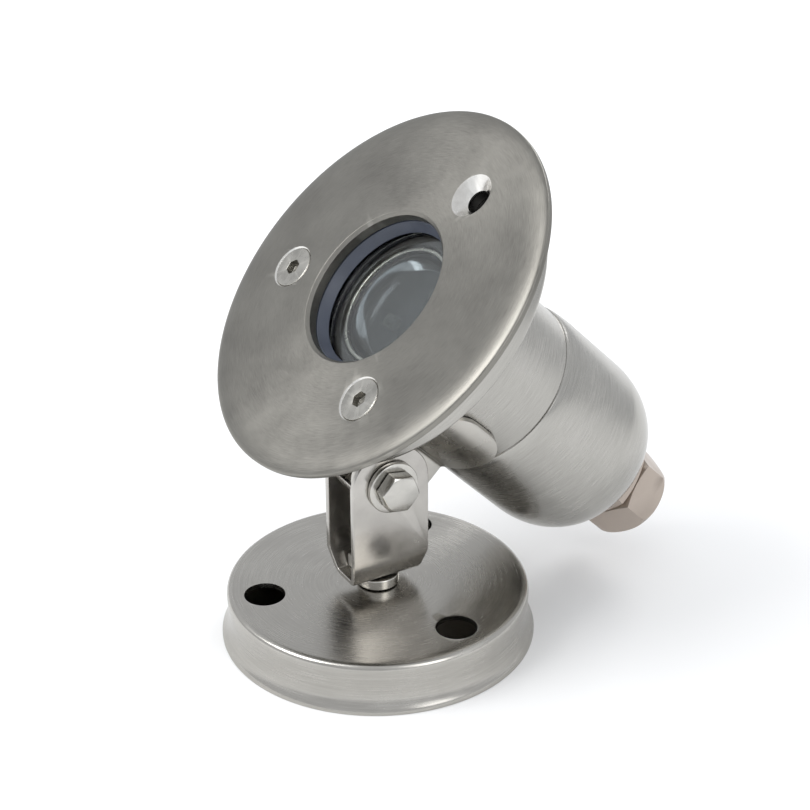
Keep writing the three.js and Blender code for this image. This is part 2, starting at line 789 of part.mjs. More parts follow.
const partTop = driverLow - fitGap;
const inductor = ring(2.6, 6.2, partTop - 5.5, partTop, smallSides).translate([-8, -4, 0]);
place(head, "driver_inductor", inductor, blackPlastic);
place(head, "driver_capacitor", disc(4, partTop - 11, partTop).translate([8, -6, 0]), leadBlack);

// Two leads that run from the LED board through the sink to the driver.
function lead(offset) {
  const bend = new THREE.CatmullRomCurve3([
    new THREE.Vector3(offset, leadWayCircle, driverLow - 2.5),
    new THREE.Vector3(offset, leadWayCircle, sinkLow),
    new THREE.Vector3(offset, leadWayCircle, boardLow),
    new THREE.Vector3(offset, leadWayCircle - 0.2, boardHigh + 0.9),
  ]);
  const outline = arc(0, 0, leadRadius, leadRadius, 0, 315, 7);
  const section = new THREE.Shape(outline.map(([x, y]) => new THREE.Vector2(x, y)));
  return solid(new THREE.ExtrudeGeometry(section, { extrudePath: bend, steps: 10, bevelEnabled: false }));
}

place(head, "led_lead_red", lead(-1.1), leadRed);
place(head, "led_lead_black", lead(1.1), leadBlack);

// ---------- head: cable gland ----------

const washerHigh = cupEnd - fitGap;
const washerLow = washerHigh - glandWasher;
const glandHexHigh = washerLow - fitGap;
const glandHexLow = glandHexHigh - glandBodyLength;
const lockNutHigh = cupEnd + canWall + fitGap + lockNutThickness;
const neckLow = glandHexLow - glandNeck;

// Hexagon with a threaded spigot through the cup and a threaded neck for the dome nut.
function glandBody() {
  const neck = ring(glandBore, glandThread, neckLow, lockNutHigh + 2, innerSides);
  const hexagon = hexBar(glandFlats, glandHexLow, glandHexHigh, true, true);
  return join(neck, cut(hexagon, disc(glandThread - 0.5, glandHexLow - 1, glandHexHigh + 1, innerSides)));
}

function glandLockNut() {
  const nut = hexBar(glandFlats, lockNutHigh - lockNutThickness, lockNutHigh, true, true);
  return cut(nut, disc(glandThread + fitGap, cupEnd, lockNutHigh + 1, innerSides));
}

// Hexagon nut whose end closes in a rounded dome round the cable hole.
function glandDomeNut() {
  const high = glandHexLow - fitGap;
  const low = high - glandNutLength;
  const corner = glandFlats / Math.sqrt(3);
  const blank = hexBar(glandFlats, low, high, false, true);
  const dome = turned([
    [0, high + 1],
    [corner + 1, high + 1],
    [corner + 1, low + 5.5],
    ...arc(corner - 4.6, low + 5.5, 4.6, 5.5, 0, -90, 5),
    [0, low],
  ], innerSides);
  const throat = turned([
    [0, high + 1],
    [glandThread + fitGap, high + 1],
    [glandThread + fitGap, neckLow - fitGap],
    [glandNutHole, neckLow - fitGap - 1.4],
    [glandNutHole, low - 1],
    [0, low - 1],
  ], innerSides);
  return cut(blank.intersect(dome), throat);
}

const endWasher = ring(glandThread + fitGap, cupEndRadius - 0.3, washerLow, washerHigh, innerSides);
place(head, "gland_washer", endWasher, blackRubber);
place(head, "gland_body", glandBody(), nickelBrass);
place(head, "gland_lock_nut", glandLockNut(), nickelBrass);
const sealRing = ring(glandSealBore, glandBore - fitGap, neckLow, neckLow + glandSealLength, smallSides);
place(head, "gland_seal", sealRing, blackRubber);
place(head, "gland_dome_nut", glandDomeNut(), nickelBrass);

export default light;
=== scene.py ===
import json
import math

import bmesh
import bpy
from mathutils import Matrix, Vector


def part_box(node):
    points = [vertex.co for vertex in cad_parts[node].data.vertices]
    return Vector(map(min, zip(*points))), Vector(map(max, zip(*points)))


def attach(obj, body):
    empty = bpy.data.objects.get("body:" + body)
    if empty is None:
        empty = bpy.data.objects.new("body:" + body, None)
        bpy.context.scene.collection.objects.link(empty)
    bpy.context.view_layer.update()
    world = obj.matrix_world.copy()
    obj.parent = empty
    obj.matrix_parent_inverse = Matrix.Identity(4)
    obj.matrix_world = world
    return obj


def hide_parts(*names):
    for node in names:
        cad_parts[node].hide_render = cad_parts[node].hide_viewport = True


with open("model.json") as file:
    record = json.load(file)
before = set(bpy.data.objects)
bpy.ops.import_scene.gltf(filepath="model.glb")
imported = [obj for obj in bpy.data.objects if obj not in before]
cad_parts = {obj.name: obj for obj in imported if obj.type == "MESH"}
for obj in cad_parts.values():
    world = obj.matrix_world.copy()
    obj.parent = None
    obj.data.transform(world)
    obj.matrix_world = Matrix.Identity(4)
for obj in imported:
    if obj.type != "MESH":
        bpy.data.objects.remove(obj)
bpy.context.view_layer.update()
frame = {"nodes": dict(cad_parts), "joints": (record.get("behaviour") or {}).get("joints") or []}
nodes = frame["nodes"]


# ---------------------------------------------------------------- foot
# A deep-drawn stainless cup with a rolled shoulder, a slight waist and a flared rim, closed underneath
# by a flat plate. Three wide holes in its top let a driver reach the floor screws that clamp the plate.

MM = 0.001
_, foot_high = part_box("foot_cup")
foot_height = foot_high.z / MM
rim_radius = foot_high.x / MM
foot_wall = 1.5
shoulder_radius = 42.5
waist_radius = 42.1
waist_height = 7.5
flare_height = 0.8
access_circle = 32.1
access_radius = 5.75
access_start = math.radians(-107.5)


def swept(start, here, end, steps):
    """Points of the curve that rounds a corner."""
    shares = [i / steps for i in range(steps + 1)]
    return [start * (1 - t) ** 2 + here * 2 * t * (1 - t) + end * t**2 for t in shares]


def rounded(corners, steps=6):
    """An outline of (x, y, radius) corners in mm, with each corner rounded by its radius."""
    outline = []
    for i, (x, y, radius) in enumerate(corners):
        here = Vector((x, y))
        if radius == 0:
            outline.append((x, y))
            continue
        before = Vector(corners[i - 1][:2]) - here
        after = Vector(corners[(i + 1) % len(corners)][:2]) - here
        half = before.angle(after) / 2
        reach = min(radius / math.tan(half), before.length * 0.49, after.length * 0.49)
        start = here + before.normalized() * reach
        end = here + after.normalized() * reach
        outline += [(point.x, point.y) for point in swept(start, here, end, steps)]
    return outline


def arc(x, y, radius_x, radius_y, start, end, steps):
    """Points of an arc, from one angle in degrees to another."""
    turns = [math.radians(start + (end - start) * i / steps) for i in range(steps + 1)]
    return [(x + radius_x * math.cos(a), y + radius_y * math.sin(a)) for a in turns]


def kept(points):
    """Points as corners that stay as they are."""
    return [(x, y, 0) for x, y in points]


def placed(name, data):
    """A new object in the scene."""
    thing = bpy.data.objects.new(name, data)
    bpy.context.scene.collection.objects.link(thing)
    return thing


def smoothed(mesh, angle):
    """Shades a mesh smooth except at edges sharper than an angle in degrees."""
    for face in mesh.polygons:
        face.use_smooth = True
    mesh.set_sharp_from_angle(angle=math.radians(angle))


def made(name, work, place):
    """Ends a bmesh in mm as an object in the part's frame, smooth except at its sharp edges."""
    bmesh.ops.remove_doubles(work, verts=work.verts, dist=1e-4)
    bmesh.ops.recalc_face_normals(work, faces=work.faces)
    work.transform(Matrix.Scale(MM, 4) @ place)
    mesh = bpy.data.meshes.new(name)
    work.to_mesh(mesh)
    work.free()
    smoothed(mesh, 32)
    return placed(name, mesh)


def turned(name, profile, place=Matrix(), sides=144):
    """A profile of (radius, height) in mm turned round Z, closed unless both its ends are on the axis."""
    work = bmesh.new()
    rings = []
    for radius, height in profile:
        count = sides if radius > 1e-5 else 1
        turns = [2 * math.pi * i / sides for i in range(count)]
        rings.append([work.verts.new((radius * math.cos(a), radius * math.sin(a), height)) for a in turns])
    pairs = list(zip(rings, rings[1:]))
    if len(rings[0]) > 1 or len(rings[-1]) > 1:
        pairs.append((rings[-1], rings[0]))
    for low, high in pairs:
        for i in range(sides):
            j = (i + 1) % sides
            around = [low[i % len(low)], low[j % len(low)], high[j % len(high)], high[i % len(high)]]
            corners = list(dict.fromkeys(around))
            if len(corners) > 2:
                work.faces.new(corners)
    return made(name, work, place)


def rod(name, radius, low, high, place=Matrix(), sides=48):
    """A plain round bar, mostly as a drill."""
    return turned(name, [(0, low), (radius, low), (radius, high), (0, high)], place, sides)


def applied(piece):
    """Applies a piece's modifiers and keeps the result as its own mesh."""
    bpy.context.view_layer.update()
    depsgraph = bpy.context.evaluated_depsgraph_get()
    mesh = bpy.data.meshes.new_from_object(piece.evaluated_get(depsgraph))
    piece.modifiers.clear()
    mesh.name = piece.name
    piece.data = mesh
    smoothed(mesh, 40)
    return piece


def machined(piece, tools, operation="DIFFERENCE", edge=0.0):
    """Cuts tools out of a piece, or keeps what they share, breaks the sharp edges and applies it all."""
    for tool in tools:
        cut = piece.modifiers.new("cut", "BOOLEAN")
        cut.operation = operation
        cut.solver = "EXACT"
        cut.object = tool
    if edge:
        bevel = piece.modifiers.new("edge", "BEVEL")
        bevel.width = edge * MM
        bevel.segments = 3
        bevel.limit_method = "ANGLE"
        bevel.angle_limit = math.radians(32)
        bevel.use_clamp_overlap = True
        bevel.harden_normals = False
    applied(piece)
    for tool in tools:
        bpy.data.objects.remove(tool)
    return piece


def grain_round(piece, place=Matrix()):
    """A UV map whose u runs round the piece's axis and whose v runs away from it, for turned finishes."""
    back = place.inverted() @ Matrix.Scale(1 / MM, 4)
    mesh = piece.data
    uv = mesh.uv_layers.get("round") or mesh.uv_layers.new(name="round")
    for face in mesh.polygons:
        middle = back @ face.center
        centre = math.atan2(middle.y, middle.x)
        for loop in face.loop_indices:
            point = back @ mesh.vertices[mesh.loops[loop].vertex_index].co
            turn = math.atan2(point.y, point.x) if point.xy.length > 1e-6 else centre
            turn += 2 * math.pi * round((centre - turn) / (2 * math.pi))
            uv.data[loop].uv = (turn / (2 * math.pi), (point.xy.length + abs(point.z)) / 50)
    return piece


def around(count, radius, start):
    """Places on a circle round Z, in mm, with the angle of each."""
    turns = [start + 2 * math.pi * i / count for i in range(count)]
    return [(radius * math.cos(a), radius * math.sin(a), a) for a in turns]


def rings(inner, outer, level, count):
    """Rings of corners across a flat face, so that it stays even where holes are cut in it."""
    return [(inner + (outer - inner) * i / count, level, 0) for i in range(count + 1)]


def flare(spread, steps=9):
    """The concave sweep from the waist down to the rim."""
    line = []
    for i in range(steps + 1):
        drop = i / steps
        radius = waist_radius + (rim_radius - waist_radius) * drop**2 - spread
        line.append((radius, waist_height + (flare_height - waist_height) * drop, 0))
    return line


foot_profile = rounded(
    [(0, foot_height, 0)]
    + rings(4, 38, foot_height, 9)
    + [(shoulder_radius, foot_height, 2.6)]
    + flare(0)
    + [(rim_radius, 0, 0.3), (rim_radius - foot_wall, 0, 0.3)]
    + flare(foot_wall)[::-1]
    + [(shoulder_radius - foot_wall, foot_height - foot_wall, 1.4), (0, foot_height - foot_wall, 0)]
)
foot_cup = turned("foot_cup_drawn", foot_profile, sides=192)
reamers = [
    rod("reamer", access_radius, 8, 20, Matrix.Translation((x, y, 0)), 64)
    for x, y, _ in around(3, access_circle, access_start)
]
grain_round(machined(foot_cup, reamers, edge=0.35))


def group_of(name, ins, outs):
    """An empty shader node group with named sockets for numbers, and its input and output nodes."""
    tree = bpy.data.node_groups.new(name, "ShaderNodeTree")
    for label, value in ins:
        socket = tree.interface.new_socket(label, in_out="INPUT", socket_type="NodeSocketFloat")
        socket.default_value = value
    for label in outs:
        tree.interface.new_socket(label, in_out="OUTPUT", socket_type="NodeSocketFloat")
    return tree, tree.nodes.new("NodeGroupInput"), tree.nodes.new("NodeGroupOutput")


def math_node(tree, operation, first, second):
    """A Math node on two sockets or numbers, and its result."""
    node = tree.nodes.new("ShaderNodeMath")
    node.operation = operation
    for slot, value in zip(node.inputs, (first, second)):
        if isinstance(value, (int, float)):
            slot.default_value = value
        else:
            tree.links.new(value, slot)
    return node.outputs[0]


# Fine lines left by abrasive on a turning piece: noise stretched along the map's u.
line_tree, line_in, line_out = group_of("abrasive lines", [("Along", 6.0), ("Across", 400.0)], ["Lines"])
line_uv = line_tree.nodes.new("ShaderNodeUVMap")
line_uv.uv_map = "round"
line_parts = line_tree.nodes.new("ShaderNodeSeparateXYZ")
line_join = line_tree.nodes.new("ShaderNodeCombineXYZ")
line_noise = line_tree.nodes.new("ShaderNodeTexNoise")
line_noise.inputs["Scale"].default_value = 1.0
line_noise.inputs["Detail"].default_value = 4.0
line_tree.links.new(line_uv.outputs["UV"], line_parts.inputs[0])
turn_angle = math_node(line_tree, "MULTIPLY", line_parts.outputs["X"], 2 * math.pi)
for operation, axis in (("COSINE", "X"), ("SINE", "Y")):
    swing = math_node(line_tree, operation, turn_angle, 0)
    swung = math_node(line_tree, "MULTIPLY", swing, line_in.outputs["Along"])
    line_tree.links.new(swung, line_join.inputs[axis])
crossed = math_node(line_tree, "MULTIPLY", line_parts.outputs["Y"], line_in.outputs["Across"])
line_tree.links.new(crossed, line_join.inputs["Z"])
line_tree.links.new(line_join.outputs[0], line_noise.inputs["Vector"])
line_tree.links.new(line_noise.outputs["Fac"], line_out.inputs["Lines"])


def noise(tree, scale, detail=2.0):
    """Noise in the piece's own frame."""
    at = tree.nodes.new("ShaderNodeTexCoord")
    node = tree.nodes.new("ShaderNodeTexNoise")
    node.inputs["Scale"].default_value = scale
    node.inputs["Detail"].default_value = detail
    tree.links.new(at.outputs["Object"], node.inputs["Vector"])
    return node


# Soft patches of handling and water marks, and sharp edges painted brighter as rubbed metal and painted
# highlight, for every metal piece.
wear_and_highlight_tree, wear_and_highlight_in, wear_and_highlight_out = group_of(
    "rubbed and handled",
    [("Patch size", 60.0), ("Edge", 6.0)],
    ["Patches", "Edges", "Scratches"],
)
wear_patch = noise(wear_and_highlight_tree, 60.0, 5.0)
wear_patch.inputs["Roughness"].default_value = 0.6
wear_scratch = noise(wear_and_highlight_tree, 900.0, 3.0)
edge_highlight_geometry = wear_and_highlight_tree.nodes.new("ShaderNodeNewGeometry")
wear_and_highlight_tree.links.new(wear_and_highlight_in.outputs["Patch size"], wear_patch.inputs["Scale"])
wear_and_highlight_tree.links.new(wear_patch.outputs["Fac"], wear_and_highlight_out.inputs["Patches"])
wear_and_highlight_tree.links.new(wear_scratch.outputs["Fac"], wear_and_highlight_out.inputs["Scratches"])
sharpness_for_rub_and_highlight = math_node(wear_and_highlight_tree, "SUBTRACT", edge_highlight_geometry.outputs["Pointiness"], 0.5)
edge_rub_and_highlight = math_node(wear_and_highlight_tree, "MULTIPLY", sharpness_for_rub_and_highlight, wear_and_highlight_in.outputs["Edge"])
edge_rub_and_highlight_clamp = wear_and_highlight_tree.nodes.new("ShaderNodeClamp")
wear_and_highlight_tree.links.new(edge_rub_and_highlight, edge_rub_and_highlight_clamp.inputs["Value"])
wear_and_highlight_tree.links.new(edge_rub_and_highlight_clamp.outputs[0], wear_and_highlight_out.inputs["Edges"])


def shaded(name, colour):
    """A new material with its nodes, and its Principled BSDF in a plain colour."""
    material = bpy.data.materials.new(name)
    material.use_nodes = True
    shader = material.node_tree.nodes["Principled BSDF"]
    shader.inputs["Base Color"].default_value = (*colour, 1)
    return material, material.node_tree, shader


def ranged(tree, value, low, high, start=0.3, end=0.7):
    """A value stretched from start..end to low..high."""
    node = tree.nodes.new("ShaderNodeMapRange")
    for label, number in (("From Min", start), ("From Max", end), ("To Min", low), ("To Max", high)):
        node.inputs[label].default_value = number
    tree.links.new(value, node.inputs["Value"])
    return node.outputs[0]


def between(tree, factor, first, second):
    """A mix of two colours, or of a colour and a socket."""
    node = tree.nodes.new("ShaderNodeMix")
    node.data_type = "RGBA"
    tree.links.new(factor, node.inputs["Factor"])
    for slot, value in ((node.inputs[6], first), (node.inputs[7], second)):
        if isinstance(value, tuple):
            slot.default_value = (*value, 1)
        else:
            tree.links.new(value, slot)
    return node.outputs[2]


def embossed(tree, shader, height, strength):
    """Relief a tenth of a millimetre deep from a height."""
    node = tree.nodes.new("ShaderNodeBump")
    node.inputs["Strength"].default_value = strength
    node.inputs["Distance"].default_value = 0.0001
    tree.links.new(height, node.inputs["Height"])
    tree.links.new(node.outputs[0], shader.inputs["Normal"])


def metal(name, dark, light, rough, bump=0.08, lines=None, anisotropic=0.0, rubbed=0.5, patch=60.0):
    """A metal with patches of tone, sharp edges painted brighter as rubbing and painted highlight, and lines
    if it was polished while it turned.
    """
    material, tree, shader = shaded(name, dark)
    shader.inputs["Metallic"].default_value = 1.0
    wear_and_highlight = tree.nodes.new("ShaderNodeGroup")
    wear_and_highlight.node_tree = wear_and_highlight_tree
    wear_and_highlight.inputs["Patch size"].default_value = patch
    tone = ranged(tree, wear_and_highlight.outputs["Patches"], 0, 1)
    height = wear_and_highlight.outputs["Scratches"]
    rough_value = ranged(tree, wear_and_highlight.outputs["Patches"], rough - 0.05, rough + 0.06)
    if lines:
        grain = tree.nodes.new("ShaderNodeGroup")
        grain.node_tree = line_tree
        grain.inputs["Along"].default_value = lines[0]
        grain.inputs["Across"].default_value = lines[1]
        height = grain.outputs["Lines"]
        faint = math_node(tree, "MULTIPLY", tone, 0.4)
        tone = math_node(tree, "ADD", faint, ranged(tree, height, 0, 0.6))
        rough_value = math_node(tree, "ADD", rough_value, ranged(tree, height, -0.05, 0.05))
        if anisotropic:
            shader.inputs["Anisotropic"].default_value = anisotropic
            tangent = tree.nodes.new("ShaderNodeTangent")
            tangent.direction_type = "UV_MAP"
            tangent.uv_map = "round"
            tree.links.new(tangent.outputs[0], shader.inputs["Tangent"])
    base = between(tree, tone, dark, light)
    # Sharp edges are painted brighter: partly rubbed metal, partly painted highlight.
    edges = math_node(tree, "MULTIPLY", wear_and_highlight.outputs["Edges"], rubbed)
    bright = tuple(min(1.0, value * 1.25) for value in light)
    tree.links.new(between(tree, edges, base, bright), shader.inputs["Base Color"])
    tree.links.new(rough_value, shader.inputs["Roughness"])
    embossed(tree, shader, height, bump)
    return material


def finished(material, *pieces):
    """Gives pieces one finish."""
    for piece in pieces:
        piece.data.materials.clear()
        piece.data.materials.append(material)


def clad(piece, material, body, *replaced, slot):
    """Gives a piece its material, its body and the CAD nodes that it stands for. Its slot is not used."""
    finished(material, piece)
    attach(piece, body)
    if replaced:
        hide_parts(*replaced)
    return piece


drawn_lines = (3, 150)
drawn_steel = metal("drawn steel", (0.36, 0.347, 0.32), (0.48, 0.465, 0.435), 0.23, 0.06, drawn_lines, 0.6)
plain_steel = metal("plain steel", (0.42, 0.41, 0.38), (0.56, 0.54, 0.51), 0.34)
clad(foot_cup, drawn_steel, "foot", "foot_cup", slot="satin_steel")
finished(plain_steel, nodes["foot_plate"])


# ---------------------------------------------------------------- swivel
# A spacer tube, plain and split washers and an M5 bolt hold the bracket's web down on the foot.
# All are small turned or stamped stainless pieces. The bolt screws up into a long nut on the web.

bright_steel = metal("bright steel", (0.42, 0.41, 0.385), (0.58, 0.565, 0.53), 0.22, 0.05, patch=150.0)


def box_in_mm(node):
    """A CAD node's lowest and highest corners, in mm."""
    low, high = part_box(node)
    return low / MM, high / MM


def tube(inner, outer, low, high, corners, steps=6):
    """The section of a tube, its corners rounded from the inner low one round to the inner high one."""
    places = [(inner, low), (outer, low), (outer, high), (inner, high)]
    return rounded([(x, y, radius) for (x, y), radius in zip(places, corners)], steps)


swivel_bore = 2.8
spacer_low, spacer_high = box_in_mm("swivel_spacer")
spacer_section = tube(swivel_bore, spacer_high.x, spacer_low.z, spacer_high.z, (0.2, 0.4, 0.4, 0.2))
spacer = turned("spacer_tube", spacer_section, sides=64)
clad(spacer, bright_steel, "foot", "swivel_spacer", slot="bright_steel")

nut_low, nut_high = box_in_mm("clamp_nut")


def block(name, low, high, place=Matrix()):
    """A plain block between two corners in mm, as stock to be machined."""
    work = bmesh.new()
    size = Vector(high) - Vector(low)
    middle = (Vector(high) + Vector(low)) / 2
    bmesh.ops.create_cube(work, size=1, matrix=Matrix.Translation(middle) @ Matrix.Diagonal((*size, 1)))
    return made(name, work, place)


long_nut = block("long_nut", nut_low, nut_high)
tap = rod("tap", swivel_bore, nut_low.z - 1, nut_high.z + 1)
clad(machined(long_nut, [tap], edge=0.3), plain_steel, "bracket", "clamp_nut", slot="satin_steel")


def hexagon(name, flats, low, high, place=Matrix(), chamfers=(True, True), bore=0.0, edge=0.12):
    """A hexagonal bar from low to high in mm, its ends chamfered like a nut's and its middle bored."""
    corner = flats / math.sqrt(3)
    work = bmesh.new()
    bmesh.ops.create_cone(
        work, cap_ends=True, segments=6, radius1=corner, radius2=corner, depth=high - low,
        matrix=Matrix.Translation((0, 0, (low + high) / 2)) @ Matrix.Rotation(math.pi / 2, 4, "Z"),
    )
    bar = made(name, work, place)
    inner = flats / 2 - 0.2
    drop = (corner - inner) * 0.6
    bottom, top = low - (not chamfers[0]), high + (not chamfers[1])
    ends = [inner if chamfered else corner + 1 for chamfered in chamfers]
    limit = [(0, bottom), (ends[0], bottom), (corner + 0.1, low + drop)]
    limit += [(corner + 0.1, high - drop), (ends[1], top), (0, top)]
    machined(bar, [turned("limit", limit, place, 72)], "INTERSECT")
    if bore:
        machined(bar, [rod("drill", bore, low - 1, high + 1, place)], edge=edge)
    else:
        machined(bar, [], edge=edge)
    return bar


def joined(name, *pieces):
    """Several meshes as one object."""
    work = bmesh.new()
    for piece in pieces:
        work.from_mesh(piece.data)
    mesh = bpy.data.meshes.new(name)
    work.to_mesh(mesh)
    work.free()
    for piece in pieces:
        bpy.data.objects.remove(piece)
    smoothed(mesh, 40)
    return placed(name, mesh)


def threaded(name, radius, low, high, place=Matrix(), pitch=1.0, sides=48):
    """A threaded rod along Z with pointed ends: a turned core whose rings follow the thread's V."""
    depth = 0.55 * pitch
    profile = [(0, low), (radius - depth, low)]
    level = low + 0.4
    while level + pitch < high - 0.3:
        crest = radius - 0.03
        profile += [(radius - depth, level), (crest, level + pitch * 0.45), (crest, level + pitch * 0.6)]
        level += pitch
    profile += [(radius - depth, level), (radius - depth, high), (0, high)]
    return turned(name, profile, place, sides)


swivel_low, swivel_high = box_in_mm("swivel_bolt")
swivel_bolt = joined(
    "swivel_bolt_m5",
    hexagon("swivel_head", 8, swivel_low.z, swivel_low.z + 3.5, chamfers=(True, False)),
    threaded("swivel_shank", 2.5, swivel_low.z + 3.4, swivel_high.z, pitch=0.8),
)
clad(swivel_bolt, bright_steel, "bracket", "swivel_bolt", slot="bright_steel")
finished(bright_steel, nodes["swivel_washer"], nodes["swivel_spring_washer"])


# ---------------------------------------------------------------- bracket
# One strip of polished stainless sheet folded to a U. Its ears are round at the top, and its shoulders
# slope in to a narrow web that stands on the spacer.

strip_low, strip_high = box_in_mm("bracket")
pivot_height = [j for j in frame["joints"] if j["name"] == "head_tilt"][0]["pos_m"][2] / MM
strip_half = strip_high.y
ear_outer = strip_high.x
strip_thickness = 1.7
web_half = 5.4
web_under = strip_low.z
bend_height = web_under + 7.4
web_taper = 1.6


def bent(points, thickness, bend, steps=6):
    """The closed outline of a strip of sheet that follows points in mm, with rounded bends."""
    line = [Vector(points[0])]
    for i in range(1, len(points) - 1):
        here = Vector(points[i])
        before = Vector(points[i - 1]) - here
        after = Vector(points[i + 1]) - here
        if before.angle(after) > math.pi - 0.15:
            line.append(here)
            continue
        start = here + before.normalized() * bend
        end = here + after.normalized() * bend
        line += swept(start, here, end, steps)
    line.append(Vector(points[-1]))
    left, right = [], []
    for i, here in enumerate(line):
        along = (line[min(i + 1, len(line) - 1)] - line[max(i - 1, 0)]).normalized()
        across = Vector((-along.y, along.x)) * (thickness / 2)
        left.append(tuple(here + across))
        right.append(tuple(here - across))
    return left + right[::-1]


AXES = {
    "x": Matrix(((0, 0, 1, 0), (1, 0, 0, 0), (0, 1, 0, 0), (0, 0, 0, 1))),
    "y": Matrix(((1, 0, 0, 0), (0, 0, -1, 0), (0, 1, 0, 0), (0, 0, 0, 1))),
    "z": Matrix(),
}


def extruded(name, outline, depth, axis, place=Matrix()):
    """A closed outline in mm extruded along an axis and centred on it, as (y, z), (x, z) or (x, y)."""
    work = bmesh.new()
    face = work.faces.new([work.verts.new((x, y, -depth / 2)) for x, y in outline])
    grown = bmesh.ops.extrude_face_region(work, geom=[face])["geom"]
    raised = [part for part in grown if isinstance(part, bmesh.types.BMVert)]
    bmesh.ops.translate(work, vec=(0, 0, depth), verts=raised)
    return made(name, work, place @ AXES[axis])


half_sheet = strip_thickness / 2
near_line = [
    (web_half - half_sheet, web_under + half_sheet),
    (ear_outer - half_sheet, bend_height),
    (ear_outer - half_sheet, pivot_height + strip_half + 1),
]
strip_line = [(-x, z) for x, z in near_line[::-1]] + near_line
side_outline = rounded(
    kept(arc(0, pivot_height, strip_half, strip_half, 0, 180, 40))
    + [
        (-strip_half, bend_height, 0.8),
        (-strip_half + web_taper, web_under - 1, 0),
        (strip_half - web_taper, web_under - 1, 0),
        (strip_half, bend_height, 0.8),
    ]
)
bracket = extruded("folded_bracket", bent(strip_line, strip_thickness, 1.8), strip_half * 2 + 2, "y")
machined(bracket, [extruded("side", side_outline, ear_outer * 2 + 2, "x")], "INTERSECT")
pivot_place = Matrix.Translation((0, 0, pivot_height)) @ Matrix.Rotation(math.pi / 2, 4, "Y")
bolt_way_radius = 3.3
machined(bracket, [rod("way", bolt_way_radius, -12, 12, pivot_place)], edge=0.28)
sheet_steel = metal("polished sheet", (0.37, 0.355, 0.335), (0.50, 0.483, 0.455), 0.22, 0.05, patch=110.0)
clad(bracket, sheet_steel, "bracket", "bracket", slot="polished_steel")


# ---------------------------------------------------------------- tilt bolt
# An M6 hexagon bolt with a washer under its head, and on the far side a washer, a split washer and a
# nut. Tightening it clamps the head at its angle.

bolt_place = pivot_place @ Matrix.Rotation(math.radians(20), 4, "Z")
bolt_flats = 10
bolt_low, bolt_high = box_in_mm("tilt_bolt")
head_start = bolt_high.x - 4
bolt_head = hexagon("bolt_head", bolt_flats, head_start, bolt_high.x, bolt_place, (False, True), edge=0.2)
bolt_shank = threaded("bolt_shank", 3.0, bolt_low.x, head_start + 0.1, pivot_place)
tilt_bolt = joined("tilt_bolt_m6", bolt_head, bolt_shank)
clad(tilt_bolt, bright_steel, "bracket", "tilt_bolt", slot="bright_steel")

nut_low, nut_high = box_in_mm("tilt_nut")
tilt_nut = hexagon("tilt_nut_m6", bolt_flats, nut_low.x, nut_high.x, bolt_place, bore=3.1, edge=0.15)
clad(tilt_nut, bright_steel, "bracket", "tilt_nut", slot="bright_steel")


def new_tree(name, inputs):
    """An empty geometry tree with named inputs, its sockets' identifiers, and its first and last nodes."""
    tree = bpy.data.node_groups.new(name, "GeometryNodeTree")
    sockets = {}
    for label, kind in [("Geometry", "Geometry"), *inputs, ("Material", "Material")]:
        socket = tree.interface.new_socket(label, in_out="INPUT", socket_type="NodeSocket" + kind)
        sockets[label] = socket.identifier
    tree.interface.new_socket("Geometry", in_out="OUTPUT", socket_type="NodeSocketGeometry")
    return tree, sockets, tree.nodes.new("NodeGroupInput"), tree.nodes.new("NodeGroupOutput")


def copied(tree, start, end, source):
    """Ends a tree with a real copy of a socket's geometry on each point, turned as the point says."""
    copies = tree.nodes.new("GeometryNodeInstanceOnPoints")
    spin = tree.nodes.new("GeometryNodeInputNamedAttribute")
    spin.data_type = "FLOAT_VECTOR"
    spin.inputs["Name"].default_value = "turn"
    real = tree.nodes.new("GeometryNodeRealizeInstances")
    paint = tree.nodes.new("GeometryNodeSetMaterial")
    tree.links.new(start.outputs["Geometry"], copies.inputs["Points"])
    tree.links.new(source, copies.inputs["Instance"])
    tree.links.new(spin.outputs["Attribute"], copies.inputs["Rotation"])
    tree.links.new(copies.outputs[0], real.inputs[0])
    tree.links.new(real.outputs[0], paint.inputs["Geometry"])
    tree.links.new(start.outputs["Material"], paint.inputs["Material"])
    tree.links.new(paint.outputs[0], end.inputs[0])


def washer_tree():
    """A node tree that punches flat washers: one on each point that it is given."""
    lengths = ("Outer radius", "Inner radius", "Thickness", "Edge")
    tree, sockets, start, end = new_tree("washers", [(label, "Float") for label in lengths])
    outer, inner = start.outputs["Outer radius"], start.outputs["Inner radius"]
    middle = math_node(tree, "MULTIPLY", math_node(tree, "ADD", outer, inner), 0.5)
    width = math_node(tree, "SUBTRACT", outer, inner)
    path = tree.nodes.new("GeometryNodeCurvePrimitiveCircle")
    path.inputs["Resolution"].default_value = 72
    tree.links.new(middle, path.inputs["Radius"])
    section = tree.nodes.new("GeometryNodeCurvePrimitiveQuadrilateral")
    tree.links.new(start.outputs["Thickness"], section.inputs["Height"])
    tree.links.new(width, section.inputs["Width"])
    fillet = tree.nodes.new("GeometryNodeFilletCurve")
    fillet.mode = "POLY"
    fillet.inputs["Count"].default_value = 3
    tree.links.new(section.outputs[0], fillet.inputs["Curve"])
    tree.links.new(start.outputs["Edge"], fillet.inputs["Radius"])
    sweep = tree.nodes.new("GeometryNodeCurveToMesh")
    tree.links.new(path.outputs[0], sweep.inputs["Curve"])
    tree.links.new(fillet.outputs[0], sweep.inputs["Profile Curve"])
    copied(tree, start, end, sweep.outputs[0])
    return tree, sockets


